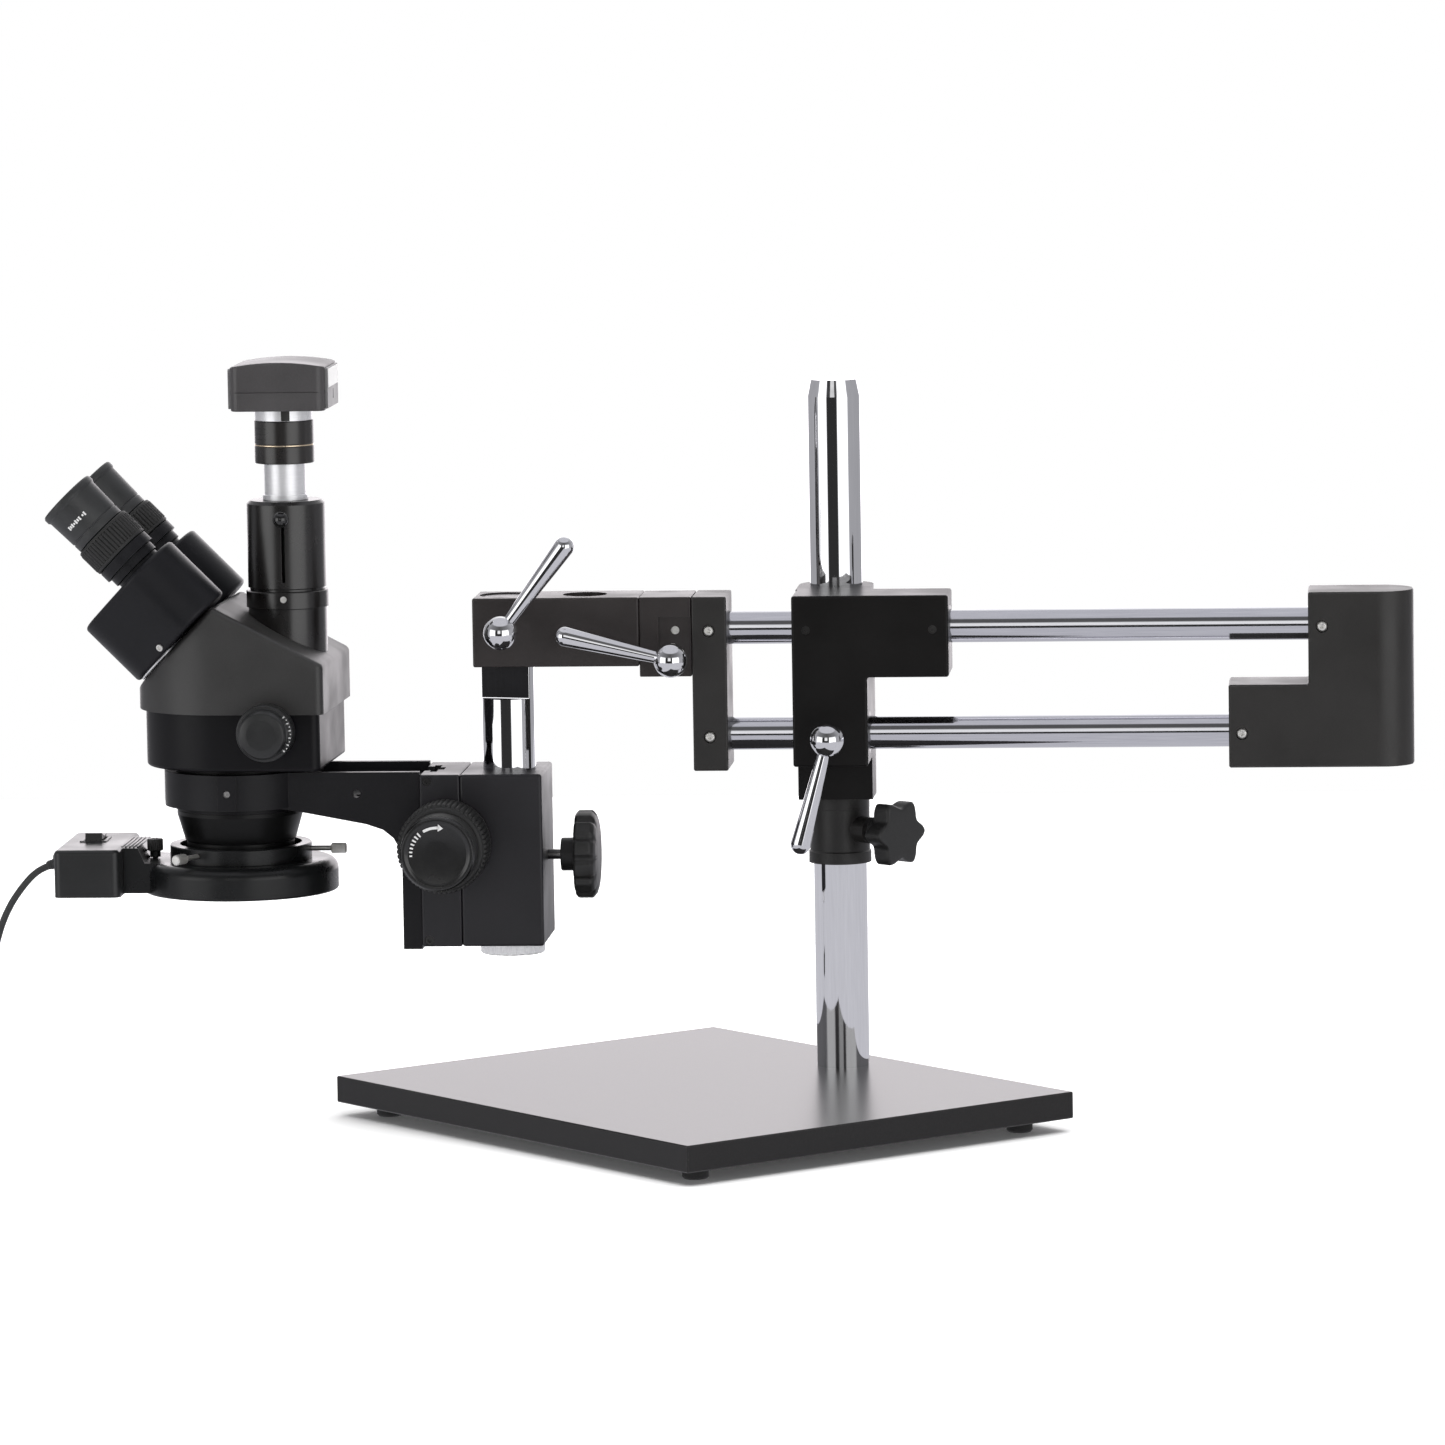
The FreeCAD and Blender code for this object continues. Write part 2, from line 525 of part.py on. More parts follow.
def head_outline(inset):
    """Side profile of the upper housing, shrunk evenly by inset."""
    front, rear, _ = UPPER_HEAD
    crest_x, crest_z = CREST
    facet = FACET_N - inset
    root2 = math.sqrt(2.0)
    slope = math.atan2(crest_z - REAR_TOP, (rear - 4.0) - crest_x)
    top = crest_z - inset / math.cos(slope)
    left = front + inset

    def roof(x):
        return top - (x - crest_x) * math.tan(slope)

    # the facet holds z - x = facet * root2; it meets the roof at the crest
    ridge_x = (top + crest_x * math.tan(slope) - facet * root2) / (1.0 + math.tan(slope))
    right = rear - inset
    low = SKIRT_Z + (0.0 if inset == 0 else -1.0)
    return [(left, low), (right, low), (right, roof(right)),
            (ridge_x, roof(ridge_x)), (left, facet * root2 + left)]


def build_head():
    front, rear, half = LOWER_HEAD
    outer = d_plan(front, rear, half, HEAD_CORNERS[0], HEAD_LOW, SKIRT_Z)
    edges = [e for e in outer.Edges if abs(e.BoundBox.ZMax - HEAD_LOW) < 0.01]
    outer = outer.makeFillet(2.0, edges)
    inner = d_plan(front + HEAD_WALL, rear - HEAD_WALL, half - HEAD_WALL, 3.0,
                   HEAD_LOW + 6, SKIRT_Z + 1)
    spigot = rod(SPIGOT_R, (HEAD_X, BOOM_Y, 190.2), (HEAD_X, BOOM_Y, HEAD_LOW + 3))
    clear = rod(27.0, (HEAD_X, BOOM_Y, 150), (HEAD_X, BOOM_Y, HEAD_LOW + 10))
    shaft = rod(3.0 + RUN, (ZOOM_X, BOOM_Y - 80, ZOOM_Z), (ZOOM_X, BOOM_Y + 80, ZOOM_Z))
    keep("lower_housing", cut(fused(cut(outer, inner), spigot), clear, shaft))

    front, rear, half = UPPER_HEAD
    shell = prism_xz(head_outline(0), BOOM_Y - 90, BOOM_Y + 90)
    shell = shell.common(d_plan(front, rear, half, HEAD_CORNERS[1], SKIRT_Z, 340))
    upright = 0.01
    brow = [e for e in shell.Edges if e.BoundBox.ZMin > SKIRT_Z + 1
            and max(e.BoundBox.XLength, e.BoundBox.YLength) > upright]
    shell = shell.makeFillet(HEAD_ROUND, brow)
    hollow = prism_xz(head_outline(HEAD_WALL), BOOM_Y - 90, BOOM_Y + 90)
    hollow = hollow.common(d_plan(front + HEAD_WALL, rear - HEAD_WALL, half - HEAD_WALL, 3.0,
                                  SKIRT_Z - 2, 340))
    solid = shell.copy()
    ports = []
    for side in (NEAR, FAR):
        port = Part.makeCylinder(13.0 + RUN, 40, V(PIVOT_T, BOOM_Y + side * PIVOT_OFF, FACET_N - 20))
        ports.append(facet_place(port))
    tube_hole = rod(17.0, (TUBE_X, BOOM_Y, 265), (TUBE_X, BOOM_Y, 340))
    keep("upper_housing", cut(shell, hollow, tube_hole, *ports))

    barrel = spun([(27.0, 190.0), (SPIGOT_R - 0.1, 190.0), (SPIGOT_R - 0.1, 187.6), (33.4, 172.0),
                   (32.5, 171.0), (32.5, 150.6), (31.9, 150.0), (27.0, 150.0)],
                  (HEAD_X, BOOM_Y, 0))
    keep("objective_barrel", barrel)
    keep("objective_lens", spun([(0, 153.2), (15, 153.6), (26.96, 155.4), (26.96, 160.5),
                                 (0, 160.5)], (HEAD_X, BOOM_Y, 0)))

    low, ring, top = PHOTO_Z
    base = spun([(17.0, 262), (PHOTO_R, 262), (PHOTO_R, low), (PHOTO_R + 1.2, low + 0.4),
                 (PHOTO_R + 1.2, ring - 0.4), (PHOTO_R + 0.6, ring), (17.0, ring)], (TUBE_X, BOOM_Y, 0))
    cover = fused(solid, tube_hole)
    keep("photo_tube_base", cut(base, cover))
    tube = spun([(20.0, ring + 0.05), (22.4, ring + 0.05), (22.4, ring + 1.4), (PHOTO_R, ring + 1.9),
                 (PHOTO_R, top - 2.0), (PHOTO_R - 2.0, top), (BARREL_R + RUN, top),
                 (BARREL_R + RUN, top - 6.0), (20.0, top - 6.0)], (TUBE_X, BOOM_Y, 0))
    slot_x = TUBE_X + 1.8
    half = SLOT_WIDE / 2
    slot = fused(block(slot_x - half, BOOM_Y - 30, 329.0, slot_x + half, BOOM_Y - 12, 366.7),
                 rod(half, (slot_x, BOOM_Y - 30, 366.7), (slot_x, BOOM_Y - 12, 366.7)),
                 rod(half, (slot_x, BOOM_Y - 30, 329.0), (slot_x, BOOM_Y - 12, 329.0)))
    keep("photo_tube", cut(tube, slot))
    cell = spun([(15.0, 362.2), (19.5, 362.2), (19.5, 370.0), (15.0, 370.0)], (TUBE_X, BOOM_Y, 0))
    stem = rod(half - 0.2, (slot_x, BOOM_Y - 28, 366.7), (slot_x, BOOM_Y - 17, 366.7))
    ball = Part.makeSphere(4.85, V(slot_x, BOOM_Y - 29.4, 366.7))
    keep("photo_lever", fused(cell, stem, ball))

    knobs = []
    for side in (NEAR, FAR):
        start = (ZOOM_X, BOOM_Y + side * 54.3, ZOOM_Z)
        knobs.append(spun([(0, 0), (16.2, 0), (17.0, 0.8), (17.0, 15.0), (14.8, 15.8),
                           (14.6, 23.5), (12.6, 25.6), (0, 25.8)], start, (0, side, 0)))
    axle = rod(3.0, (ZOOM_X, BOOM_Y - 55, ZOOM_Z), (ZOOM_X, BOOM_Y + 55, ZOOM_Z))
    keep("zoom_knobs", fused(axle, *knobs))


def build_binocular():
    low, high = PRISM_N
    for side, name in ((NEAR, "near"), (FAR, "far")):
        y_pivot = BOOM_Y + side * PIVOT_OFF
        y_eye = BOOM_Y + side * EYE_OFF
        small, large = PRISM_R
        a = V(PIVOT_T, y_pivot, 0)
        b = V(EYE_T, y_eye, 0)
        span = (b - a).Length
        heading = math.atan2(b.y - a.y, b.x - a.x)
        lean = math.acos((small - large) / span)
        corners = []
        for centre, radius, sign in ((a, small, 1), (b, large, 1), (b, large, -1), (a, small, -1)):
            turn = heading + sign * lean
            corners.append(centre + V(radius * math.cos(turn), radius * math.sin(turn), 0))
        sheet = Part.Face(Part.makePolygon(corners + corners[:1]))
        hull = sheet.extrude(V(0, 0, high - low))
        hull = fused(hull, Part.makeCylinder(small, high - low, a),
                     Part.makeCylinder(large, high - low, b))
        rims = [e for e in hull.Edges
                if e.BoundBox.ZLength < 0.01]
        hull = hull.makeFillet(2.4, rims)
        hull.translate(V(0, 0, low))
        journal = Part.makeCylinder(13.0, 16, V(PIVOT_T, y_pivot, low - 14))
        neck = spun([(0, high - 3), (TUBE_R, high - 3), (TUBE_R, 530.5), (16.3, 531.0),
                     (16.3, 536.0), (18.3, 536.4), (18.3, 542.6), (17.9, 543.0), (TUBE_R, 543.0),
                     (TUBE_R, 557.0), (0, 557.0)], (EYE_T, y_eye, 0))
        bore = Part.makeCylinder(11.05, 60, V(EYE_T, y_eye, 518))
        body = cut(fused(hull, journal, neck), bore)
        keep("prism_housing_" + name, facet_place(body))
        ring = spun([(TUBE_R + RUN, 543.3), (18.6, 543.3), (19.1, 543.8), (19.1, 559.8),
                     (18.6, 560.3), (TUBE_R + RUN, 560.3)], (EYE_T, y_eye, 0))
        keep("diopter_ring_" + name, facet_place(ring))
        up = CUP_OUT if side == FAR else 0.0
        cup = spun([(0, 524), (11.0, 524), (11.0, 560.6), (16.8, 560.6), (17.2, 561.0),
                    (17.3, 566.0), (18.0, 585.6 + up), (18.7, 586.2 + up), (18.7, 589.4 + up),
                    (17.9, 590.3 + up), (16.4, 590.3 + up), (12.5, 580.0), (10.5, 577.5),
                    (0, 576.5)], (EYE_T, y_eye, 0))
        keep("eyepiece_" + name, facet_place(cup))


def build_camera():
    top = PHOTO_Z[2]
    barrel = spun([(9.5, 352.0), (11.6, 352.0), (11.6, 368.6), (BARREL_R, 369.4),
                   (BARREL_R, top + 0.2), (13.6, top + 0.2), (13.6, top + 3.0),
                   (BARREL_R, top + 3.2), (BARREL_R, 398.5), (9.5, 398.5)], (TUBE_X, BOOM_Y, 0))
    neck = spun([(12.0, 424.4), (17.3, 424.4), (17.3, 431.2), (12.0, 431.2)], (TUBE_X, BOOM_Y, 0))
    keep("relay_barrel", barrel, neck)
    keep("camera_adapter", spun([(12.0, 398.6), (17.5, 398.6), (17.9, 399.0), (17.9, 408.7),
                                 (17.6, 409.0), (17.6, 410.2), (17.8, 410.5), (17.8, 423.9),
                                 (17.4, 424.3), (12.0, 424.3)], (TUBE_X, BOOM_Y, 0)))
    low, side, crown = CAMERA_Z
    half = CAMERA_HALF - 1.6
    left = V(TUBE_X - half, 0, side)
    right = V(TUBE_X + half, 0, side)
    roof = Part.Arc(right, V(TUBE_X, 0, crown), left).toShape()
    walls = Part.makePolygon([left, V(TUBE_X - half, 0, low), V(TUBE_X + half, 0, low), right])
    face = Part.Face(Part.Wire(Part.__sortEdges__(walls.Edges + [roof])))
    face.translate(V(0, BOOM_Y - CAMERA_HALF, 0))
    body = face.extrude(V(0, 2 * CAMERA_HALF, 0))
    upright = [e for e in body.Edges if e.BoundBox.ZLength > side - low - 1]
    body = body.makeFillet(CAMERA_CORNER, upright)
    rims = [e for e in body.Edges if e.BoundBox.ZLength < crown - side + 0.1]
    body = body.makeFillet(1.0, rims)
    seam = block(TUBE_X - 40, BOOM_Y - 40, 442.4, TUBE_X + 40, BOOM_Y + 40, 442.9)
    core = block(TUBE_X - half + 0.5, BOOM_Y - CAMERA_HALF + 0.5, 440, TUBE_X + half - 0.5,
                 BOOM_Y + CAMERA_HALF - 0.5, 446)
    port = rod(11.0, (TUBE_X, BOOM_Y, low - 1), (TUBE_X, BOOM_Y, low + 14))
    keep("camera_body", cut(body, cut(seam, core), port))
    plates = []
    for sign in (-1, 1):
        x = TUBE_X + sign * (half + 0.8 + 0.02)
        plate = block(x - 0.8, BOOM_Y - 24, low + 1.2, x + 0.8, BOOM_Y + 24, side - 1.2)
        plates.append(plate.makeFillet(1.5, [e for e in plate.Edges if e.BoundBox.XLength > 1]))
    socket = block(TUBE_X + half, BOOM_Y - 0.4, 436.8, TUBE_X + half + 5, BOOM_Y + 2.0, 442.9)
    keep("camera_end_plates", plates[0], cut(plates[1], socket))


# ---------------------------------------------------------------- ring light
def build_light():
    z0, z1 = LIGHT_Z
    at = (HEAD_X, BOOM_Y, 0)
    disc = rod(LIGHT_R, (HEAD_X, BOOM_Y, z0), (HEAD_X, BOOM_Y, z1))
    rim = [e for e in disc.Edges if e.BoundBox.ZMin > z1 - 0.1]
    foot = [e for e in disc.Edges if e.BoundBox.ZMax < z0 + 0.1]
    disc = disc.makeFillet(6.5, rim).makeFillet(1.5, foot)
    neck_x = BOX_X[1] + 0.1
    outline = [(neck_x, BOX_Z[0] + 0.4), (neck_x, 169.2), (-417.6, 169.0), (-413.6, z1 + 0.4),
               (-404, z1), (-395, z1 - 3), (-395, BOX_Z[0] + 0.4)]
    neck = prism_xz(outline, BOOM_Y - 27, BOOM_Y + 27)
    body = fused(disc, neck)
    hole = rod(33.6, (HEAD_X, BOOM_Y, 100), (HEAD_X, BOOM_Y, 200))
    groove = spun([(36.5, z0 - 1), (55.0, z0 - 1), (55.0, 152.5), (36.5, 152.5)], at)
    stem = rod(1.6 + RUN, (-410.6, BOOM_Y, 150), (-410.6, BOOM_Y, 175))
    keep("light_housing", cut(body, hole, groove, stem))
    keep("light_diffuser", spun([(36.6, z0 + 0.2), (54.9, z0 + 0.2), (54.9, z0 + 2.6),
                                 (36.6, z0 + 2.6)], at))
    inner, outer, top = COLLAR_RING
    collar = spun([(inner, z1 + 0.1), (outer, z1 + 0.1), (outer, top - 0.5), (outer - 0.5, top),
                   (inner, top)], at)
    holes = []
    for name, degrees in SCREW_TURNS.items():
        a = math.radians(degrees)
        out = V(math.cos(a), math.sin(a), 0)
        centre = V(HEAD_X, BOOM_Y, SCREW_Z)

        def reach(distance):
            p = centre + out * distance
            return (p.x, p.y, p.z)

        holes.append(rod(1.6 + RUN, reach(30), reach(50)))
        stem = rod(1.6, reach(33.0), reach(55.5))
        head = spun([(0, 0), (2.7, 0), (3.1, 0.5), (3.1, 8.8), (2.7, 9.3), (0, 9.3)],
                    reach(54.8), (out.x, out.y, 0))
        keep("thumbscrew_" + name, fused(stem, head))
    keep("light_collar", cut(collar, *holes))

    x0, x1 = BOX_X
    low, high = BOX_Z
    box = block(x0, BOOM_Y - BOX_HALF, low, x1, BOOM_Y + BOX_HALF, high)
    upright = [e for e in box.Edges if e.BoundBox.ZLength > 5]
    box = box.makeFillet(4.5, upright)
    brim = [e for e in box.Edges if e.BoundBox.ZMin > high - 0.1]
    box = box.makeFillet(2.6, brim)
    well = block(-454.0, BOOM_Y - 2.0, high - 7.0, -442.4, BOOM_Y + 17.0, high + 1)
    grip = rod(4.5, (x0 - 1, BOOM_Y - 24, 160), (x0 + 3.2, BOOM_Y - 24, 160))
    keep("control_box", cut(box, well, grip))

    # rocker: two flats that meet over its pivot, at rest with its far end pressed down
    y_mid = BOOM_Y + 7.5
    half = 8.6
    rocker = []
    for y, z in ((-half, -1.0), (half, -1.0), (half, 4.0), (0, 2.6), (-half, 4.0)):
        rocker.append(V(-453.3, y_mid + y, high + z))
    rocker_solid = Part.Face(Part.makePolygon(rocker + rocker[:1])).extrude(V(10.2, 0, 0))
    rocker_solid.rotate(V(0, y_mid, high - 1.5), V(1, 0, 0), -7)
    keep("rocker_switch", rocker_solid)

    knob = spun([(0, 155), (1.6, 155), (1.6, 160.4), (2.9, 160.6), (2.9, 164.2), (3.9, 164.4), (4.2, 164.8),
                 (4.2, 171.0), (3.7, 171.6), (0, 171.6)], (-410.6, BOOM_Y, 0))
    slit = block(-411.1, BOOM_Y - 6, 166.5, -410.1, BOOM_Y - 3.2, 172)
    keep("dimmer_knob", cut(knob, slit))


def arc_path(points):
    """Straight runs through the points, with a tangent arc at each corner."""
    edges = []
    radii = []
    here = points[0]
    for k in range(1, len(points) - 1):
        before = points[k] - points[k - 1]
        after = points[k + 1] - points[k]
        turn = before.getAngle(after)
        cutback = 0.45 * min(before.Length, after.Length)
        radii.append(cutback / math.tan(turn / 2))
        a = points[k] - before.normalize() * cutback
        b = points[k] + after.normalize() * cutback
        chord = (a + b) * 0.5
        bulge = (points[k] - chord).normalize() * (radii[-1] * (1 - math.cos(turn / 2)))
        edges.append(Part.LineSegment(here, a).toShape())
        edges.append(Part.Arc(a, chord + bulge, b).toShape())
        here = b
    edges.append(Part.LineSegment(here, points[-1]).toShape())
    return Part.Wire(edges), radii


CORD_ROUTE = [(-466.5, -76.0, 160.0), (-474.0, -76.0, 158.0), (-481.8, -75.8, 153.2),
              (-489.4, -75.4, 144.6), (-496.4, -75.0, 134.6), (-502.0, -74.6, 122.8),
              (-506.2, -74.4, 108.6), (-509.4, -74.6, 92.0), (-511.8, -75.2, 73.4),
              (-514.6, -76.2, 54.8), (-518.8, -77.4, 37.6), (-525.6, -78.4, 22.4),
              (-535.4, -79.2, 11.0), (-547.6, -79.8, 4.6), (-560.4, -80.0, 2.5),
              (-572.0, -80.0, 2.3)]


def build_cord():
    x0 = BOX_X[0]
    route = [V(*p) for p in CORD_ROUTE]
    grommet = spun([(CORD_D / 2 + 0.04, -3.0), (4.46, -3.0), (4.46, 0.05), (6.0, 0.05), (6.0, 2.4),
                    (5.0, 4.6), (CORD_D / 2 + 0.04, 4.8)], (x0, BOOM_Y - 24, 160), (-1, 0, 0))
    keep("cord_grommet", grommet)
    path, radii = arc_path(route)
    circle = Part.Wire(Part.Circle(route[0], route[1] - route[0], CORD_D / 2).toShape())
    tube = path.makePipeShell([circle], True, False)
    keep("light_cord", tube)
    expected = math.pi * (CORD_D / 2) ** 2 * path.Length
    print("cord: length %.1f, volume %.1f of %.1f" % (path.Length, tube.Volume, expected))
    print("cord radii: " + " ".join("%.0f" % r for r in radii))
    cx, cy = COIL_C
    bundle = spun([(COIL_R - COIL_WALL, 0.1), (COIL_R + COIL_WALL, 0.1),
                   (COIL_R + COIL_WALL, COIL_H), (COIL_R - COIL_WALL, COIL_H)], (cx, cy, 0))
    tail = rod(CORD_D / 2, (cx - COIL_R - 7.0, cy + 2.0, 4.6), PLUG)
    keep("cord_coil", fused(bundle, tail))
    # low-voltage barrel plug, lying on the bench beside the coil
    keep("cord_plug", spun([(0, 0), (2.6, 0), (3.4, 10), (5.2, 12), (5.2, 36), (4.4, 37.5),
                            (2.8, 37.6), (2.8, 48), (0, 48)], PLUG, (0, -1, 0)))


CORD_NODES = ("light_cord", "cord_coil", "cord_plug", "cord_grommet")
TURNED = ("lower_housing", "upper_housing", "objective_barrel", "objective_lens",
          "photo_tube_base", "photo_tube", "photo_lever", "zoom_knobs",
          "prism_housing_near", "prism_housing_far", "eyepiece_near", "eyepiece_far",
          "diopter_ring_near", "diopter_ring_far")
CAMERA_NODES = ("relay_barrel", "camera_adapter", "camera_body", "camera_end_plates")


def turn_head():
    """Turn the head in its ring; the camera goes along but keeps facing as it did."""
    angle = math.radians(HEAD_TURN)
    arm = TUBE_X - HEAD_X
    carried = V(arm * (math.cos(angle) - 1), arm * math.sin(angle), 0)
    for name in TURNED:
        SHAPES[name] = SHAPES[name].copy()
        SHAPES[name].rotate(V(HEAD_X, BOOM_Y, 0), V(0, 0, 1), HEAD_TURN)
    for name in CAMERA_NODES:
        SHAPES[name] = SHAPES[name].copy()
        SHAPES[name].translate(carried)


build_stand()
build_collar()
build_carriage()
build_boom()
build_arm()
build_focus()
build_focus_arm()
build_head()
build_binocular()
build_camera()
build_light()
build_cord()
turn_head()

# move everything so that the origin is under the middle of the object
box = FreeCAD.BoundBox()
for name, shape in SHAPES.items():
    if name not in CORD_NODES:
        box.add(shape.BoundBox)
SHIFT = V(-round(box.Center.x, 2), -round(box.Center.y, 2), 0)
print("origin shift: %.2f %.2f" % (SHIFT.x, SHIFT.y))
for name, shape in SHAPES.items():
    moved = shape.copy()
    moved.translate(SHIFT)
    moved.exportStep("parts/" + name + ".step")
    if not moved.isValid():
        print("invalid shape:", name)
print("pieces:", len(SHAPES))
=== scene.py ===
import math

import bmesh
import bpy
from mathutils import Matrix, Vector


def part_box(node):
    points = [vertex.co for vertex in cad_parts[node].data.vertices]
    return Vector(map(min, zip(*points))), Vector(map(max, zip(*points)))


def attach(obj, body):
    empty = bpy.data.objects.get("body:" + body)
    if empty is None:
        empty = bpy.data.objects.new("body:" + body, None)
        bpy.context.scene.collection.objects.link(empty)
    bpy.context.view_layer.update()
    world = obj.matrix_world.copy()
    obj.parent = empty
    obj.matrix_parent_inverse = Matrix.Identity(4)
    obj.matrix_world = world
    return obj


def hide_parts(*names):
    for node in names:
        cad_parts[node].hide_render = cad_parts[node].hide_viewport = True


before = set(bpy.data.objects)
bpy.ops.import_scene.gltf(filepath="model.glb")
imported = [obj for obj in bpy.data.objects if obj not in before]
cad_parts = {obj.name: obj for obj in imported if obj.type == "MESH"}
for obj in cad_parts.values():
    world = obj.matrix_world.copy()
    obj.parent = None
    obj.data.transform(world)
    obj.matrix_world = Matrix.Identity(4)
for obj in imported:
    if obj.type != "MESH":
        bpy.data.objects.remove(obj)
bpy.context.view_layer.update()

MM = 0.001
scene = bpy.context.scene
column_low, column_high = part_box("column")
ORIGIN = Vector(((column_low.x + column_high.x) / 2, (column_low.y + column_high.y) / 2, 0))

# ------------------------------------------------------------------ dimensions shared with the CAD
BOOM_Y = -52.4
BLOCK_FRONT = BOOM_Y - 22.0
FOCUS_FRONT = BOOM_Y - 33.0
HEAD_X = -358.6
KNOB_X = -229.6
KNOB_Z = 172.2
CLAMP_Z = 160.7
UPPER_ROD_Z = 297.0
LOWER_ROD_Z = 233.3
POST_X = -194.8
POST_FLAT = 5.2              # from the post's axis to its flat
POST_FLAT_Z = (256.1, 316.2)        # where the flat starts and ends
POST_TOP = 316.5
POST_TURN = math.radians(-13.5)     # the way the flat faces
TUBE_X = -326.8
ZOOM_X = -331.0
ZOOM_Z = 242.7
STAR_Z = 169.4
STAR_TURN = math.radians(-40.0)
EYE_T = -50.6
EYE_OFF = 37.5
CUP_OUT = 3.0               # how far the far eyecup is pulled out
PIVOT_T = -79.5
PIVOT_OFF = 26.0
BOX_LEFT = -466.2
BOX_TOP = 170.0
DIMMER_X = -410.9
LIGHT_LOW = 140.5
CORD_D = 4.2
COIL_C = (-572.0, -112.4)
COIL_OUT = 32.4             # radius of the outermost turn
COIL_TURNS = 5              # turns in each of the two layers
TURN_GAP = CORD_D + 0.05    # from one turn to the next
PLUG_START = (-611.0, -127.0, 5.4)
STUDIO_GREY = (0.60, 0.60, 0.64)    # what polished metal shows of the floor and the ceiling
HALF = math.sqrt(0.5)
FACET_AXIS = (-HALF, 0.0, HALF)
DOWN_Y = (0.0, -1.0, 0.0)
UP = (0.0, 0.0, 1.0)
HEAD_TURN = math.radians(-2.0)      # the head stands turned a little in its ring
HEAD_BODIES = ("head", "zoom", "photo_lever", "prism_near", "prism_far", "diopter_near",
               "diopter_far")


def at(x, y, z):
    """A point of the design frame, in metres in the row frame."""
    return ORIGIN + Vector((x, y, z)) * MM


def facet(t, y, n):
    """A point given along and out of the 45 degree facet, in the design frame."""
    return (HALF * (t - n), y, HALF * (t + n))


def with_head(point, body):
    """Where a point of the straight head goes when the head is turned in its ring."""
    x, y, z = point
    c, s = math.cos(HEAD_TURN), math.sin(HEAD_TURN)
    if body in HEAD_BODIES:
        return (HEAD_X + (x - HEAD_X) * c - (y - BOOM_Y) * s,
                BOOM_Y + (x - HEAD_X) * s + (y - BOOM_Y) * c, z)
    if body == "camera":
        arm = TUBE_X - HEAD_X
        return (x + arm * (c - 1), y + arm * s, z)
    return point


# ------------------------------------------------------------------ camera
CAMERA_ANGLES = (4.664, 6.5, -0.917)        # round the object, above the bench, and roll
CAMERA_AIM = (-70.407, 0, 233.656)
CAMERA_AWAY = 4.9473                        # metres


def make_camera():
    azimuth, elevation, roll = (math.radians(angle) for angle in CAMERA_ANGLES)
    back = Vector((math.sin(azimuth) * math.cos(elevation),
                   -math.cos(azimuth) * math.cos(elevation), math.sin(elevation)))
    right = Vector((math.cos(azimuth), math.sin(azimuth), 0))
    up = back.cross(right)
    x_axis = right * math.cos(roll) + up * math.sin(roll)
    y_axis = up * math.cos(roll) - right * math.sin(roll)
    data = bpy.data.cameras.new("camera")
    data.sensor_width = 36.0
    data.lens = 203.45
    data.clip_start = 0.1
    data.clip_end = 300.0
    camera = bpy.data.objects.new("camera", data)
    scene.collection.objects.link(camera)
    placed = Matrix((x_axis, y_axis, back)).transposed().to_4x4()
    placed.translation = at(*CAMERA_AIM) + back * CAMERA_AWAY
    camera.matrix_world = placed
    scene.camera = camera


make_camera()


# ------------------------------------------------------------------ materials
class Nodes:
    """A small helper that adds nodes to a tree and links them."""

    def __init__(self, tree):
        self.tree = tree

    def add(self, kind, settings=None, **inputs):
        node = self.tree.nodes.new(kind)
        for key, value in (settings or {}).items():
            setattr(node, key, value)
        for key, value in inputs.items():
            self.put(node.inputs[key.replace("_", " ")], value)
        return node

    def put(self, socket, value):
        if isinstance(value, bpy.types.NodeSocket):
            self.tree.links.new(value, socket)
        else:
            socket.default_value = value

    def maths(self, operation, first, second=0.0):
        node = self.tree.nodes.new("ShaderNodeMath")
        node.operation = operation
        self.put(node.inputs[0], first)
        self.put(node.inputs[1], second)
        return node.outputs[0]

    def noise(self, where, scale, detail=3.0, stretch=(1, 1, 1)):
        mapping = self.add("ShaderNodeMapping", Vector=where, Scale=stretch)
        node = self.add("ShaderNodeTexNoise", Vector=mapping.outputs[0], Scale=scale, Detail=detail)
        return node.outputs["Fac"]

    def fit(self, value, low, high, start=0.35, end=0.65):
        node = self.add("ShaderNodeMapRange", Value=value)
        for k, bound in enumerate((start, end, low, high)):
            node.inputs[k + 1].default_value = bound
        return node.outputs[0]

    def blend(self, share, first, second):
        node = self.tree.nodes.new("ShaderNodeMix")
        node.data_type = "RGBA"
        self.put(node.inputs[0], share)
        self.put(node.inputs[6], (*first, 1.0) if isinstance(first, tuple) else first)
        self.put(node.inputs[7], (*second, 1.0) if isinstance(second, tuple) else second)
        return node.outputs[2]


MATERIALS = {}


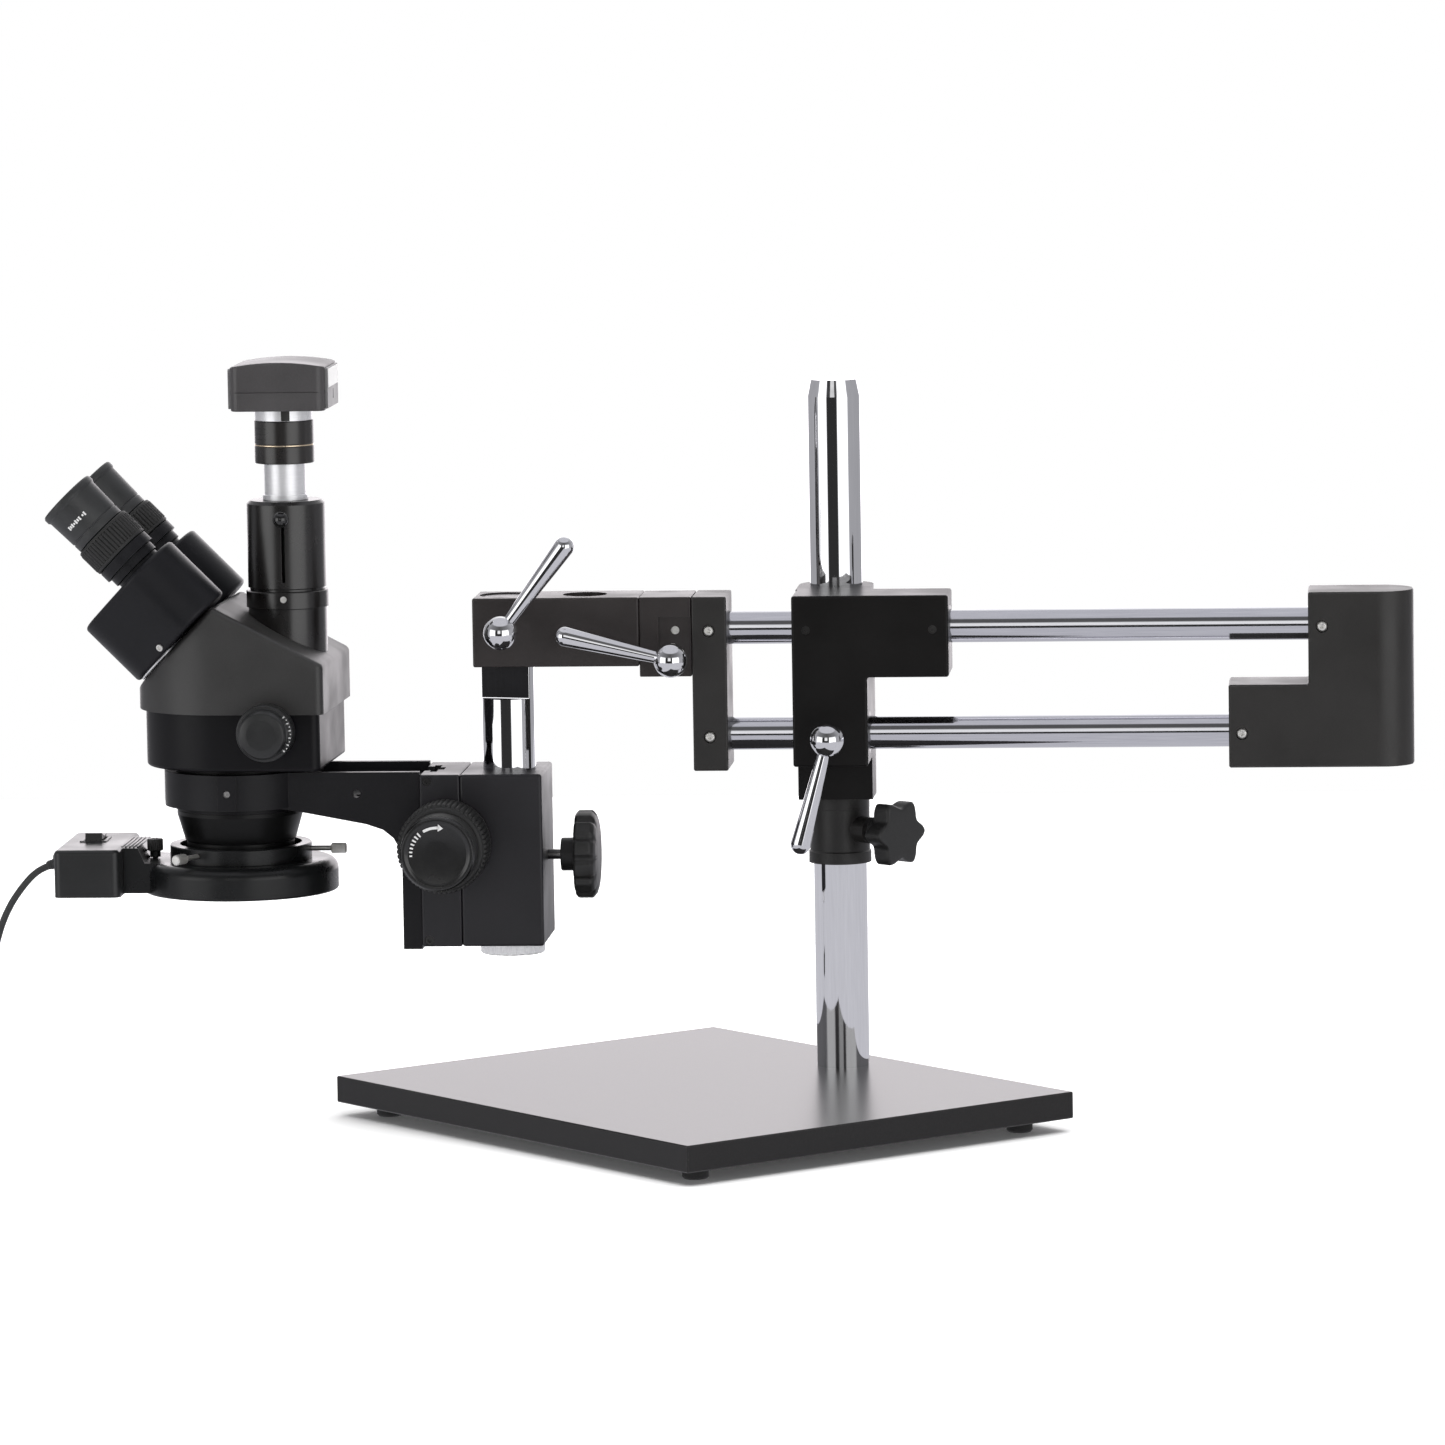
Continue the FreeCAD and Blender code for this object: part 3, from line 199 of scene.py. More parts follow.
def material(name, dark, light, rough, grain=1500.0, bump=0.02, cloud=30.0, stretch=(1, 1, 1),
             edge_highlight=None, edge=0.0004, most=0.55, **fixed):
    """Principled material: two mottled tones, patchy roughness, grain bump and a painted highlight
    along the edges.

    rough is (lowest, highest). grain and cloud are the scales of the fine and the broad noise,
    and bump is the grain's depth in millimetres. The colour given for the edges is a painted
    highlight, blended in along them; edge is how wide in metres, and most is how much of it shows
    where it is strongest.
    fixed holds plain socket values, with _ for a space in a socket's name.
    """
    made = bpy.data.materials.new(name)
    made.use_nodes = True
    nodes = Nodes(made.node_tree)
    shader = made.node_tree.nodes["Principled BSDF"]
    where = nodes.add("ShaderNodeTexCoord").outputs["Object"]
    fine = nodes.noise(where, grain, 2.0, stretch)
    broad = nodes.noise(where, cloud, 4.0, stretch)
    total = nodes.maths("ADD", nodes.maths("MULTIPLY", fine, 0.5),
                        nodes.maths("MULTIPLY", broad, 0.5))
    colour = nodes.blend(nodes.fit(total, 0.0, 1.0), dark, light)
    roughness = nodes.fit(broad, rough[0], rough[1])
    bumped = nodes.add("ShaderNodeBump", Height=fine, Strength=1.0, Distance=bump * MM)
    normal = bumped.outputs[0]
    # painted highlight: along the edges, where the rounded normal turns from the true one, the colour
    # is blended towards a lighter tone
    if edge_highlight:
        soft = nodes.add("ShaderNodeBevel", {"samples": 4}, Radius=edge)
        nodes.put(bumped.inputs["Normal"], soft.outputs[0])
        true = nodes.add("ShaderNodeNewGeometry").outputs["Normal"]
        angle = nodes.add("ShaderNodeVectorMath", {"operation": "DOT_PRODUCT"})
        nodes.put(angle.inputs[0], soft.outputs[0])
        nodes.put(angle.inputs[1], true)
        rim = nodes.fit(angle.outputs["Value"], 1.0, 0.0, 0.90, 0.995)
        edge_highlight_mask = nodes.maths("MULTIPLY", rim, nodes.fit(broad, 0.2 * most, most))
        colour = nodes.blend(edge_highlight_mask, colour, edge_highlight)
    nodes.put(shader.inputs["Base Color"], colour)
    nodes.put(shader.inputs["Roughness"], roughness)
    nodes.put(shader.inputs["Normal"], normal)
    for key, value in fixed.items():
        shader.inputs[key.replace("_", " ")].default_value = value
    MATERIALS[name] = made


def dark_tone(level, warm=0.0):
    """A near-black colour; warm shifts it to brown, or to blue when negative."""
    return (level * (1 + warm), level, level * (1 - warm))


EDGE_HIGHLIGHT_TONE = (0.16, 0.155, 0.15)           # painted highlight: the lighter colour that black paint takes along its edges


def make_paints():
    """Painted and anodised blacks: colour, roughness, grain, bump, shine, most painted edge highlight.
    """
    for name, tone, rough, grain, bump, shine, most in (
            ("block_black", (0.0150, 0.0138, 0.0130), (0.36, 0.46), 1400, 0.010, 0.50, 0.5),
            ("carriage_black", (0.0050, 0.0045, 0.0043), (0.34, 0.42), 1400, 0.008, 0.20, 0.4),
            ("arm_brown", (0.0215, 0.0172, 0.0168), (0.34, 0.44), 1600, 0.008, 0.50, 0.5),
            ("focus_black", (0.0095, 0.0088, 0.0115), (0.36, 0.46), 1400, 0.010, 0.50, 0.4),
            ("ring_arm_black", (0.0085, 0.0083, 0.0098), (0.36, 0.44), 1300, 0.010, 0.22, 0.3),
            ("head_upper_black", (0.0225, 0.0218, 0.0216), (0.38, 0.48), 1700, 0.010, 0.62, 0.3),
            ("head_lower_black", (0.0042, 0.0040, 0.0052), (0.36, 0.44), 1700, 0.010, 0.20, 0.3),
            ("prism_black", (0.0065, 0.0066, 0.0085), (0.34, 0.44), 1700, 0.010, 0.26, 0.3),
            ("tube_black", (0.0045, 0.0036, 0.0034), (0.25, 0.30), 1700, 0.003, 0.80, 0.15),
            ("collar_black", (0.0145, 0.0137, 0.0130), (0.40, 0.52), 1300, 0.014, 0.50, 0.4),
            ("objective_black", (0.0042, 0.0042, 0.0044), (0.30, 0.40), 1500, 0.006, 0.24, 0.2),
            ("camera_grey", (0.0540, 0.0510, 0.0530), (0.34, 0.44), 1800, 0.008, 0.50, 0.3),
            ("adapter_black", (0.0070, 0.0052, 0.0046), (0.25, 0.30), 1700, 0.003, 0.80, 0.15)):
        dark = tuple(0.85 * part for part in tone)
        light = tuple(1.2 * part for part in tone)
        material(name, dark, light, rough, grain, bump, edge_highlight=EDGE_HIGHLIGHT_TONE, edge=0.0003, most=most,
                 Specular_IOR_Level=shine)
    # the base and the camera's end plates carry the painted edge highlight too
    material("base_paint", (0.0150, 0.0145, 0.0148), (0.0200, 0.0190, 0.0195), (0.285, 0.295), 2400,
             0.004, cloud=900, edge_highlight=EDGE_HIGHLIGHT_TONE, edge=0.0005, most=0.3, Specular_IOR_Level=0.20)
    material("end_paint", (0.150, 0.148, 0.152), (0.190, 0.188, 0.192), (0.36, 0.46), 1500, 0.006,
             edge_highlight=EDGE_HIGHLIGHT_TONE, most=0.2, Specular_IOR_Level=0.25)
    # painted reflection: the post's milled face is chrome, coloured dark here for the dark side of the
    # room it shows
    material("milled_face_painted_reflection", (0.0050, 0.0048, 0.0065), (0.0090, 0.0086, 0.0110), (0.22, 0.34), 1100,
             0.004, stretch=(1, 1, 0.05), Specular_IOR_Level=0.16)


def make_plastics():
    # the knob, ring light and box plastics carry a painted highlight along their edges
    material("knob_plastic", dark_tone(0.013), dark_tone(0.019), (0.38, 0.5), 1200, 0.02, edge_highlight=EDGE_HIGHLIGHT_TONE)
    material("gloss_plastic", dark_tone(0.006), dark_tone(0.009), (0.20, 0.28), 900, 0.002,
             Coat_Weight=0.3, Coat_Roughness=0.12)
    material("ball_plastic", dark_tone(0.004), dark_tone(0.006), (0.05, 0.08), 900, 0.001,
             Specular_IOR_Level=0.8)
    material("light_plastic", dark_tone(0.005, -0.06), dark_tone(0.007, -0.06), (0.24, 0.32), 1500,
             0.010, edge_highlight=dark_tone(0.05), most=0.3, Specular_IOR_Level=0.36)
    material("box_plastic", dark_tone(0.009, -0.04), dark_tone(0.013, -0.04), (0.28, 0.36), 1300,
             0.014, edge_highlight=dark_tone(0.05), most=0.3, Specular_IOR_Level=0.58)
    material("switch_plastic", dark_tone(0.008), dark_tone(0.012), (0.2, 0.3), 1200, 0.01)
    material("grip_rubber", dark_tone(0.010), dark_tone(0.017), (0.48, 0.62), 1500, 0.03)
    material("cup_rubber", dark_tone(0.015, -0.05), dark_tone(0.022, -0.05), (0.38, 0.48), 1600, 0.016,
             Specular_IOR_Level=0.65)
    material("foot_rubber", dark_tone(0.010), dark_tone(0.018), (0.62, 0.8), 900, 0.06)
    material("cord_pvc", dark_tone(0.020, -0.03), dark_tone(0.030, -0.03), (0.36, 0.5), 1100, 0.02)
    material("tie_velcro", dark_tone(0.02), dark_tone(0.05), (0.8, 0.95), 2500, 0.08)
    material("diffuser_white", (0.72, 0.72, 0.70), (0.80, 0.80, 0.79), (0.42, 0.52), 700, 0.01,
             Subsurface_Weight=0.3)
    material("led_lens", (0.80, 0.78, 0.62), (0.92, 0.90, 0.78), (0.08, 0.14), 900, 0.002)
    material("label_white", (0.74, 0.74, 0.73), (0.84, 0.84, 0.83), (0.42, 0.52), 1600, 0.006)
    material("mark_white", (0.62, 0.62, 0.62), (0.76, 0.76, 0.76), (0.5, 0.6), 2400, 0.006)
    # the painted shade inside the photo tube's slot
    material("slot_painted_shade", dark_tone(0.004), dark_tone(0.007), (0.5, 0.7), 900, 0.02)
    material("lens_glass", (0.010, 0.016, 0.030), (0.022, 0.014, 0.034), (0.02, 0.04), 60, 0.0,
             Coat_Weight=1.0, Coat_Roughness=0.02)


def make_metals():
    """Metals: darker and lighter tone, roughness, grain, bump, stretch of the grain."""
    metals = (
        ("chrome", (0.80, 0.80, 0.82), (0.88, 0.88, 0.90), (0.025, 0.05), 700, 0.0003, (1, 1, 0.05)),
        ("lever_chrome", (0.78, 0.78, 0.80), (0.86, 0.86, 0.88), (0.035, 0.07), 900, 0.0004, (1, 1, 1)),
        ("rod_chrome", (0.66, 0.66, 0.70), (0.76, 0.76, 0.80), (0.07, 0.11), 800, 0.0004, (0.05, 1, 1)),
        ("screw_zinc", (0.78, 0.77, 0.74), (0.90, 0.89, 0.86), (0.42, 0.55), 1300, 0.003, (1, 1, 1)),
        ("steel", (0.56, 0.55, 0.54), (0.70, 0.69, 0.68), (0.18, 0.30), 1300, 0.003, (1, 1, 1)),
        ("black_steel", (0.05, 0.05, 0.05), (0.09, 0.088, 0.085), (0.26, 0.38), 1300, 0.003, (1, 1, 1)),
        ("brass", (0.62, 0.46, 0.19), (0.74, 0.56, 0.26), (0.24, 0.36), 1100, 0.004, (1, 1, 1)),
        ("gold", (0.86, 0.68, 0.46), (0.94, 0.78, 0.58), (0.22, 0.30), 1100, 0.002, (1, 1, 1)))
    for name, dark, light, rough, grain, bump, stretch in metals:
        material(name, dark, light, rough, grain, bump, 18, stretch, Metallic=1.0)
    # bright turned metals also scatter light, so they are not all mirror
    material("aluminium", (0.86, 0.86, 0.88), (0.94, 0.94, 0.96), (0.34, 0.42), 1500, 0.002,
             stretch=(0.1, 0.1, 1), Metallic=0.7)
    material("cap_chrome", (0.86, 0.86, 0.87), (0.94, 0.94, 0.95), (0.10, 0.16), 900, 0.0005,
             Metallic=0.45)


NODE_MATERIALS = {
    "base_paint": ("base_plate",),
    "foot_rubber": ("rubber_feet",),
    "chrome": ("column", "front_post"),
    "cap_chrome": ("post_stop_cap",),
    "collar_black": ("height_collar", "thrust_washer"),
    "block_black": ("front_end_block", "rear_end_block"),
    "carriage_black": ("carriage_block",),
    "black_steel": ("rod_bushes",),
    "lever_chrome": ("boom_clamp_lever", "tilt_clamp_lever", "post_clamp_lever"),
    "rod_chrome": ("upper_rod", "lower_rod"),
    "arm_brown": ("pivot_block", "front_arm"),
    "focus_black": ("focus_block", "rack_housing"),
    "steel": ("pinion_shaft", "end_block_screws", "dovetail_rail"),
    "ring_arm_black": ("focus_arm",),
    "brass": ("focus_rack",),
    "head_lower_black": ("lower_housing",),
    "head_upper_black": ("upper_housing",),
    "objective_black": ("objective_barrel",),
    "lens_glass": ("objective_lens",),
    "tube_black": ("photo_tube_base", "photo_tube"),
    "ball_plastic": ("photo_lever",),
    "aluminium": ("relay_barrel",),
    "adapter_black": ("camera_adapter",),
    "camera_grey": ("camera_body",),
    "end_paint": ("camera_end_plates",),
    "prism_black": ("prism_housing_near", "prism_housing_far"),
    "light_plastic": ("light_housing", "light_collar"),
    "diffuser_white": ("light_diffuser",),
    "box_plastic": ("control_box",),
    "switch_plastic": ("rocker_switch",),
}


def dress_nodes():
    """Give each CAD node its finish."""
    for name, nodes in NODE_MATERIALS.items():
        for node in nodes:
            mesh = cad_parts[node].data
            mesh.materials.clear()
            mesh.materials.append(MATERIALS[name])


# ------------------------------------------------------------------ shapes
def soften(outline, radius):
    """Round the corners of an outline of (radius, height) points, apart from its two ends."""
    points = [Vector(p) for p in outline]
    result = [points[0]]
    for before, corner, after in zip(points, points[1:], points[2:]):
        reach = min(radius, (before - corner).length * 0.45, (after - corner).length * 0.45)
        start = corner + (before - corner).normalized() * reach
        end = corner + (after - corner).normalized() * reach
        for share in (0.0, 0.35, 0.65, 1.0):
            result.append(start * (1 - share) ** 2 + corner * 2 * share * (1 - share)
                          + end * share ** 2)
    return result + [points[-1]]


def axes(axis):
    """The axis and two directions across it; angles run from the first to the second."""
    along = Vector(axis).normalized()
    side = Vector((0, 1, 0)) if abs(along.x) > 0.5 else Vector((1, 0, 0))
    side = (side - along * side.dot(along)).normalized()
    return along, side, along.cross(side)


def lathe(outline, base, axis, steps=64, wave=None, soft=0.3):
    """Outline of (radius, height) points turned about an axis.

    wave, a function of turn, radius and height, adds to the radius, and soft rounds the corners.
    """
    along, side, other = axes(axis)
    profile = soften(outline, soft) if soft else [Vector(p) for p in outline]
    points = []
    faces = []
    for k in range(steps):
        turn = 2 * math.pi * k / steps
        out = side * math.cos(turn) + other * math.sin(turn)
        for radius, height in profile:
            more = wave(turn, radius, height) if wave and radius > 0 else 0.0
            points.append(Vector(base) + along * height + out * (radius + more))
    size = len(profile)
    for k in range(steps):
        here = k * size
        there = (k + 1) % steps * size
        for i in range(size - 1):
            faces.append((here + i, there + i, there + i + 1, here + i + 1))
    return points, faces


def polar(base, axis, radii, turns, heights, steps=8):
    """Closed block between two radii, two angles in degrees and two heights."""
    along, side, other = axes(axis)
    points = []
    for k in range(steps + 1):
        turn = math.radians(turns[0] + (turns[1] - turns[0]) * k / steps)
        out = side * math.cos(turn) + other * math.sin(turn)
        for radius, height in ((radii[0], heights[0]), (radii[1], heights[0]),
                               (radii[1], heights[1]), (radii[0], heights[1])):
            points.append(Vector(base) + along * height + out * radius)
    faces = [(0, 1, 2, 3), tuple(4 * steps + i for i in (3, 2, 1, 0))]
    for k in range(steps):
        for i in range(4):
            j = (i + 1) % 4
            faces.append((4 * k + i, 4 * k + 4 + i, 4 * k + 4 + j, 4 * k + j))
    return points, faces


def brick(low, high):
    """Cuboid between two corners."""
    points = [Vector((x, y, z)) for x in (low[0], high[0]) for y in (low[1], high[1])
              for z in (low[2], high[2])]
    faces = [(0, 1, 3, 2), (4, 6, 7, 5), (0, 4, 5, 1), (2, 3, 7, 6), (0, 2, 6, 4), (1, 5, 7, 3)]
    return points, faces


def piece(name, shapes, finish, body, replaces=(), bevel=0.0, sharp=38.0):
    """Make one named piece from shapes, in its finish, riding on a body."""
    points = []
    faces = []
    for shape_points, shape_faces in shapes:
        start = len(points)
        points += [at(*with_head(p, body)) for p in shape_points]
        faces += [tuple(start + i for i in face) for face in shape_faces]
    mesh = bpy.data.meshes.new(name)
    mesh.from_pydata(points, [], faces)
    work = bmesh.new()
    work.from_mesh(mesh)
    bmesh.ops.remove_doubles(work, verts=work.verts, dist=2e-6)
    bmesh.ops.dissolve_degenerate(work, edges=work.edges, dist=1e-6)
    bmesh.ops.recalc_face_normals(work, faces=work.faces)
    work.to_mesh(mesh)
    work.free()
    mesh.materials.append(MATERIALS[finish])
    mesh.shade_smooth()
    mesh.set_sharp_from_angle(angle=math.radians(sharp))
    made = bpy.data.objects.new(name, mesh)
    scene.collection.objects.link(made)
    if bevel:
        rounding = made.modifiers.new("bevel", "BEVEL")
        rounding.width = bevel * MM
        rounding.segments = 2
        rounding.limit_method = "ANGLE"
    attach(made, body)
    if replaces:
        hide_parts(*replaces)
    return made


def ribs(count, depth, low, high, inner=0.0):
    """Wave for lathe(): grooves round a wall between two heights."""
    def wave(turn, radius, height):
        if not low <= height <= high or radius < inner:
            return 0.0
        return -depth * max(0.0, math.cos(count * turn)) ** 2
    return wave


def screw_thread(turn, radius, height):
    """Wave for lathe(): the fine rings of a screw."""
    return 0.12 * math.sin(8 * height)


def socket_head(centre, axis, radius, depth=0.8):
    """Round screw head with a hexagon socket, its face at the centre point."""
    key = radius * 0.5
    under = 1.2         # how far the head goes on below the socket's floor

    def hexagon(turn, at_radius, height):
        if at_radius > key + 0.01:
            return 0.0
        off = (turn + math.pi / 6) % (math.pi / 3) - math.pi / 6
        return at_radius * (1 / math.cos(off) - 1) * 0.95

    outline = [(0, -depth), (key, -depth), (key, 0), (radius, 0), (radius, -depth - under)]
    return lathe(outline, centre, axis, 36, hexagon, 0.0)


make_paints()
make_plastics()
make_metals()
dress_nodes()

# ------------------------------------------------------------------ cord
CORD_ROUTE = [(-466.5, -76.0, 160.0), (-474.0, -76.0, 158.0), (-481.8, -75.8, 153.2),
              (-489.4, -75.4, 144.6), (-496.4, -75.0, 134.6), (-502.0, -74.6, 122.8),
              (-506.2, -74.4, 108.6), (-509.4, -74.6, 92.0), (-511.8, -75.2, 73.4),
              (-514.6, -76.2, 54.8), (-518.8, -77.4, 37.6), (-525.6, -78.4, 22.4),
              (-535.4, -79.2, 11.0), (-547.6, -79.8, 4.6), (-560.4, -80.0, 2.5),
              (-572.0, -80.0, 2.3)]


def coil_points():
    """Two layers of turns, winding in below and out above, then a short tail to the plug."""
    per_turn = 16
    swell = 1 / math.cos(math.pi / per_turn)        # the curve runs inside its points
    total = COIL_TURNS * per_turn
    climb = 5           # points over which the lead climbs to the second layer
    low, high = 2.7, 6.95
    points = []
    for layer, height in enumerate((low, high)):
        for k in range(1, total + 1):
            share = k / total
            inward = share if layer == 0 else 1 - share
            radius = COIL_OUT - inward * (COIL_TURNS - 1) * TURN_GAP
            radius += 0.12 * math.sin(k * 2.1 + layer)
            lift = 0.0
            if layer == 0 and k > total - climb:
                lift = (high - low) * (k - total + climb) / climb
            turn = math.pi / 2 + 2 * math.pi * k / per_turn
            points.append((COIL_C[0] + radius * swell * math.cos(turn),
                           COIL_C[1] + radius * swell * math.sin(turn), height + lift))
    for k, (radius, height) in enumerate(((33.4, 6.6), (35.2, 4.8), (36.8, 3.6), (38.2, 3.8))):
        turn = math.pi / 2 + math.pi / 8 * (k + 1)
        points.append((COIL_C[0] + radius * math.cos(turn), COIL_C[1] + radius * math.sin(turn),
                       height))
    points.append((-611.0, -121.0, 5.2))
    points.append((-611.0, -129.0, 5.4))
    return points


def make_lead():
    curve = bpy.data.curves.new("light_lead", "CURVE")
    curve.dimensions = "3D"
    spline = curve.splines.new("NURBS")
    route = CORD_ROUTE + coil_points()
    spline.points.add(len(route) - 1)
    for point, place in zip(spline.points, route):
        point.co = (*at(*place), 1.0)
    spline.order_u = 3
    spline.use_endpoint_u = True
    curve.resolution_u = 8
    curve.bevel_depth = CORD_D / 2 * MM
    curve.bevel_resolution = 5
    curve.use_fill_caps = True
    curve.materials.append(MATERIALS["cord_pvc"])
    lead = bpy.data.objects.new("light_lead", curve)
    scene.collection.objects.link(lead)
    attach(lead, "ring_light")
    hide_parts("light_cord", "cord_coil")
    return lead


def make_plug():
    plug = piece("barrel_plug", [
        lathe([(0, 0), (2.6, 0), (2.9, 3), (2.5, 3.6), (3.0, 4.4), (3.2, 7), (2.8, 7.6), (3.3, 8.4),
               (3.6, 11), (5.2, 13), (5.2, 36), (4.4, 37.5), (0, 37.5)], PLUG_START, DOWN_Y, 48,
              ribs(14, 0.5, 17, 33, 5.0))], "cord_pvc", "ring_light",
        ("cord_plug",))
    tip = piece("barrel_plug_tip", [
        lathe([(1.1, 40), (1.1, 47.6), (2.75, 48), (2.75, 37), (0, 37)], PLUG_START, DOWN_Y, 32)],
        "steel", "ring_light")
    return plug, tip


def make_tie():
    """Strap round the bundle of turns, in a plane that holds the coil's axis."""
    turn = math.radians(-75)
    out = Vector((math.cos(turn), math.sin(turn), 0))
    along = Vector((-math.sin(turn), math.cos(turn), 0))
    middle = Vector((COIL_C[0], COIL_C[1], 4.85)) + out * (COIL_OUT - 2 * TURN_GAP)
    count = 32
    half_wide = 10.75
    half_tall = 4.4
    half_long = 3.5
    thick = 0.4
    ring = []
    for k in range(count):
        angle = 2 * math.pi * k / count
        c, s = math.cos(angle), math.sin(angle)
        stretch = (abs(c) ** 5 + abs(s) ** 5) ** -0.2       # between a circle and a square
        ring.append((c * stretch, s * stretch))
    points = []
    for shift in (-half_long, half_long):
        for extra in (0.0, thick):
            for c, s in ring:
                points.append(middle + out * (half_wide + extra) * c
                              + Vector(UP) * (half_tall + extra) * s + along * shift)
    # where the points start of the near end's outer ring, and of the far end's two rings
    outer, far, far_outer = count, 2 * count, 3 * count
    faces = []
    for k in range(count):
        j = (k + 1) % count
        faces += [(k, j, outer + j, outer + k), (far + k, far_outer + k, far_outer + j, far + j),
                  (k, far + k, far + j, j),
                  (outer + k, outer + j, far_outer + j, far_outer + k)]
    return piece("lead_tie", [(points, faces)], "tie_velcro", "ring_light")


def make_relief():
    return piece("strain_relief", [
        lathe([(2.14, -3), (4.4, -3), (4.4, 0.1), (6.0, 0.1), (6.0, 1.7), (5.2, 2.1), (3.4, 2.3),
               (3.2, 3.4), (2.8, 3.6), (3.1, 4.6), (2.7, 4.8), (2.9, 5.8), (2.5, 6.4), (2.14, 7.2)],
              (BOX_LEFT, BOOM_Y - 23.6, 160), (-1, 0, -0.2), 48)], "cord_pvc", "ring_light",
        ("cord_grommet",))


def make_cord():
    lead = make_lead()
    plug, tip = make_plug()
    tie = make_tie()
    relief = make_relief()


make_cord()


# ------------------------------------------------------------------ stand and boom trim
def lobes(turn, radius, height):
    """Wave for lathe(): six hollows, deeper further out."""
    return -0.6 * max(0.0, radius - 11.5) * ((1 - math.cos(6 * turn)) / 2) ** 0.8


def make_collar_knob():
    out = Vector((math.cos(STAR_TURN), math.sin(STAR_TURN), 0))
    here = (0, 0, STAR_Z)
    piece("star_knob", [
        lathe([(3.1, 30.0), (9.0, 30.0), (9.0, 38.6), (11.4, 39.6), (19.6, 39.6), (21.0, 41.2),
               (21.0, 51.0), (19.2, 52.4), (11.4, 52.4), (0, 52.4)], here, out, 144, lobes, 0.9)],
        "knob_plastic", "collar_knob", ("collar_knob",))
    piece("star_knob_screw", [
        lathe([(0, 16.5), (2.6, 16.5), (3.0, 17.2), (3.0, 41.0), (0, 41.0)], here, out, 40,
              screw_thread)],
        "steel", "collar_knob")


def make_boom_screws():
    piece("carriage_set_screws", [
        socket_head((x, BLOCK_FRONT + 1.0, UPPER_ROD_Z), DOWN_Y, 2.45) for x in (-13.8, 61.7)],
        "black_steel", "carriage")
    outline = [(0, 8.9), (1.3, 8.9), (1.3, 10.5), (2.3, 10.4), (3.4, 9.4), (3.4, 8.4), (2.0, 8.4),
               (2.0, 0), (0, 0)]
    heads = []
    for x, z in ((-72.0, UPPER_ROD_Z), (-72.0, LOWER_ROD_Z), (292.8, UPPER_ROD_Z),
                 (245.0, LOWER_ROD_Z)):
        heads.append(lathe(outline, (x, BOOM_Y - 11.2, z), DOWN_Y, 36, None, 0.25))
    piece("boom_screws", heads, "screw_zinc", "boom", ("end_block_screws",))


def make_post_trim():
    """The milled flat at the top of the front post, and the post's end face, both coloured with a
    painted dark reflection of the room.
    """
    half_wide = 14.9
    sunk, proud = 0.15, 0.05
    points, faces = brick((-half_wide, POST_FLAT - sunk, POST_FLAT_Z[0]),
                          (half_wide, POST_FLAT + proud, POST_FLAT_Z[1]))
    away = Matrix.Rotation(math.pi + POST_TURN, 4, "Z")
    points = [away @ point + Vector((POST_X, BOOM_Y, 0)) for point in points]
    piece("post_flat", [(points, faces)], "milled_face_painted_reflection", "post")

    steps = 48
    reach = 15.1
    start = math.acos(POST_FLAT / reach)
    rim = []
    for k in range(steps + 1):
        turn = start + (2 * math.pi - 2 * start) * k / steps - math.pi / 2 + POST_TURN
        rim.append((POST_X + reach * math.cos(turn), BOOM_Y + reach * math.sin(turn)))
    points = [Vector((x, y, z)) for z in (POST_TOP, POST_TOP + 0.18) for x, y in rim]
    count = len(rim)
    faces = [tuple(range(count))[::-1], tuple(range(count, 2 * count))]
    faces += [(k, (k + 1) % count, count + (k + 1) % count, count + k) for k in range(count)]
    piece("post_end", [(points, faces)], "milled_face_painted_reflection", "post")


make_collar_knob()
make_boom_screws()
make_post_trim()
piece("pivot_set_screw", [socket_head((-92.0, BOOM_Y - 18.4, 297.4), DOWN_Y, 2.45)],
      "screw_zinc", "arm")


# ------------------------------------------------------------------ focus drive
def make_focus_knobs():
    grips = []
    caps = []
    rims = []
    for side in (-1, 1):
        base = (KNOB_X, BOOM_Y + side * 35.0, KNOB_Z)
        outer = (KNOB_X, BOOM_Y + side * 67.0, KNOB_Z)
        grips.append(lathe(
            [(4.1, 0), (22.5, 0), (24.0, 2.2), (26.0, 2.6), (27.0, 3.6), (27.0, 28.6), (26.2, 29.6),
             (25.2, 29.8), (24.6, 31.4), (23.4, 32.0), (4.1, 32.0)], base, (0, side, 0), 336,
            ribs(56, 0.9, 3.4, 29.9, 24.5), 0.4))
        caps.append(lathe(
            [(0, 0.1), (22.0, 0.1), (22.4, 0.6), (22.4, 16.2), (21.6, 16.8), (21.6, 17.6),
             (0, 17.6)], outer, (0, side, 0), 288, ribs(48, 0.7, 1.2, 15.6, 22.0), 0.3))
        rims.append(lathe(
            [(21.5, 17.2), (22.2, 17.4), (22.3, 19.4), (21.2, 20.9), (19.6, 20.9), (18.4, 20.4),
             (17.7, 19.9), (8, 19.6), (0, 19.5)], outer, (0, side, 0), 96, None, 0.35))
    piece("focus_grips", grips, "grip_rubber", "focus_drive",
          ("focus_knobs",))
    piece("tension_rings", caps, "grip_rubber", "focus_drive",
          ("tension_caps",))
    piece("tension_faces", rims, "gloss_plastic", "focus_drive")


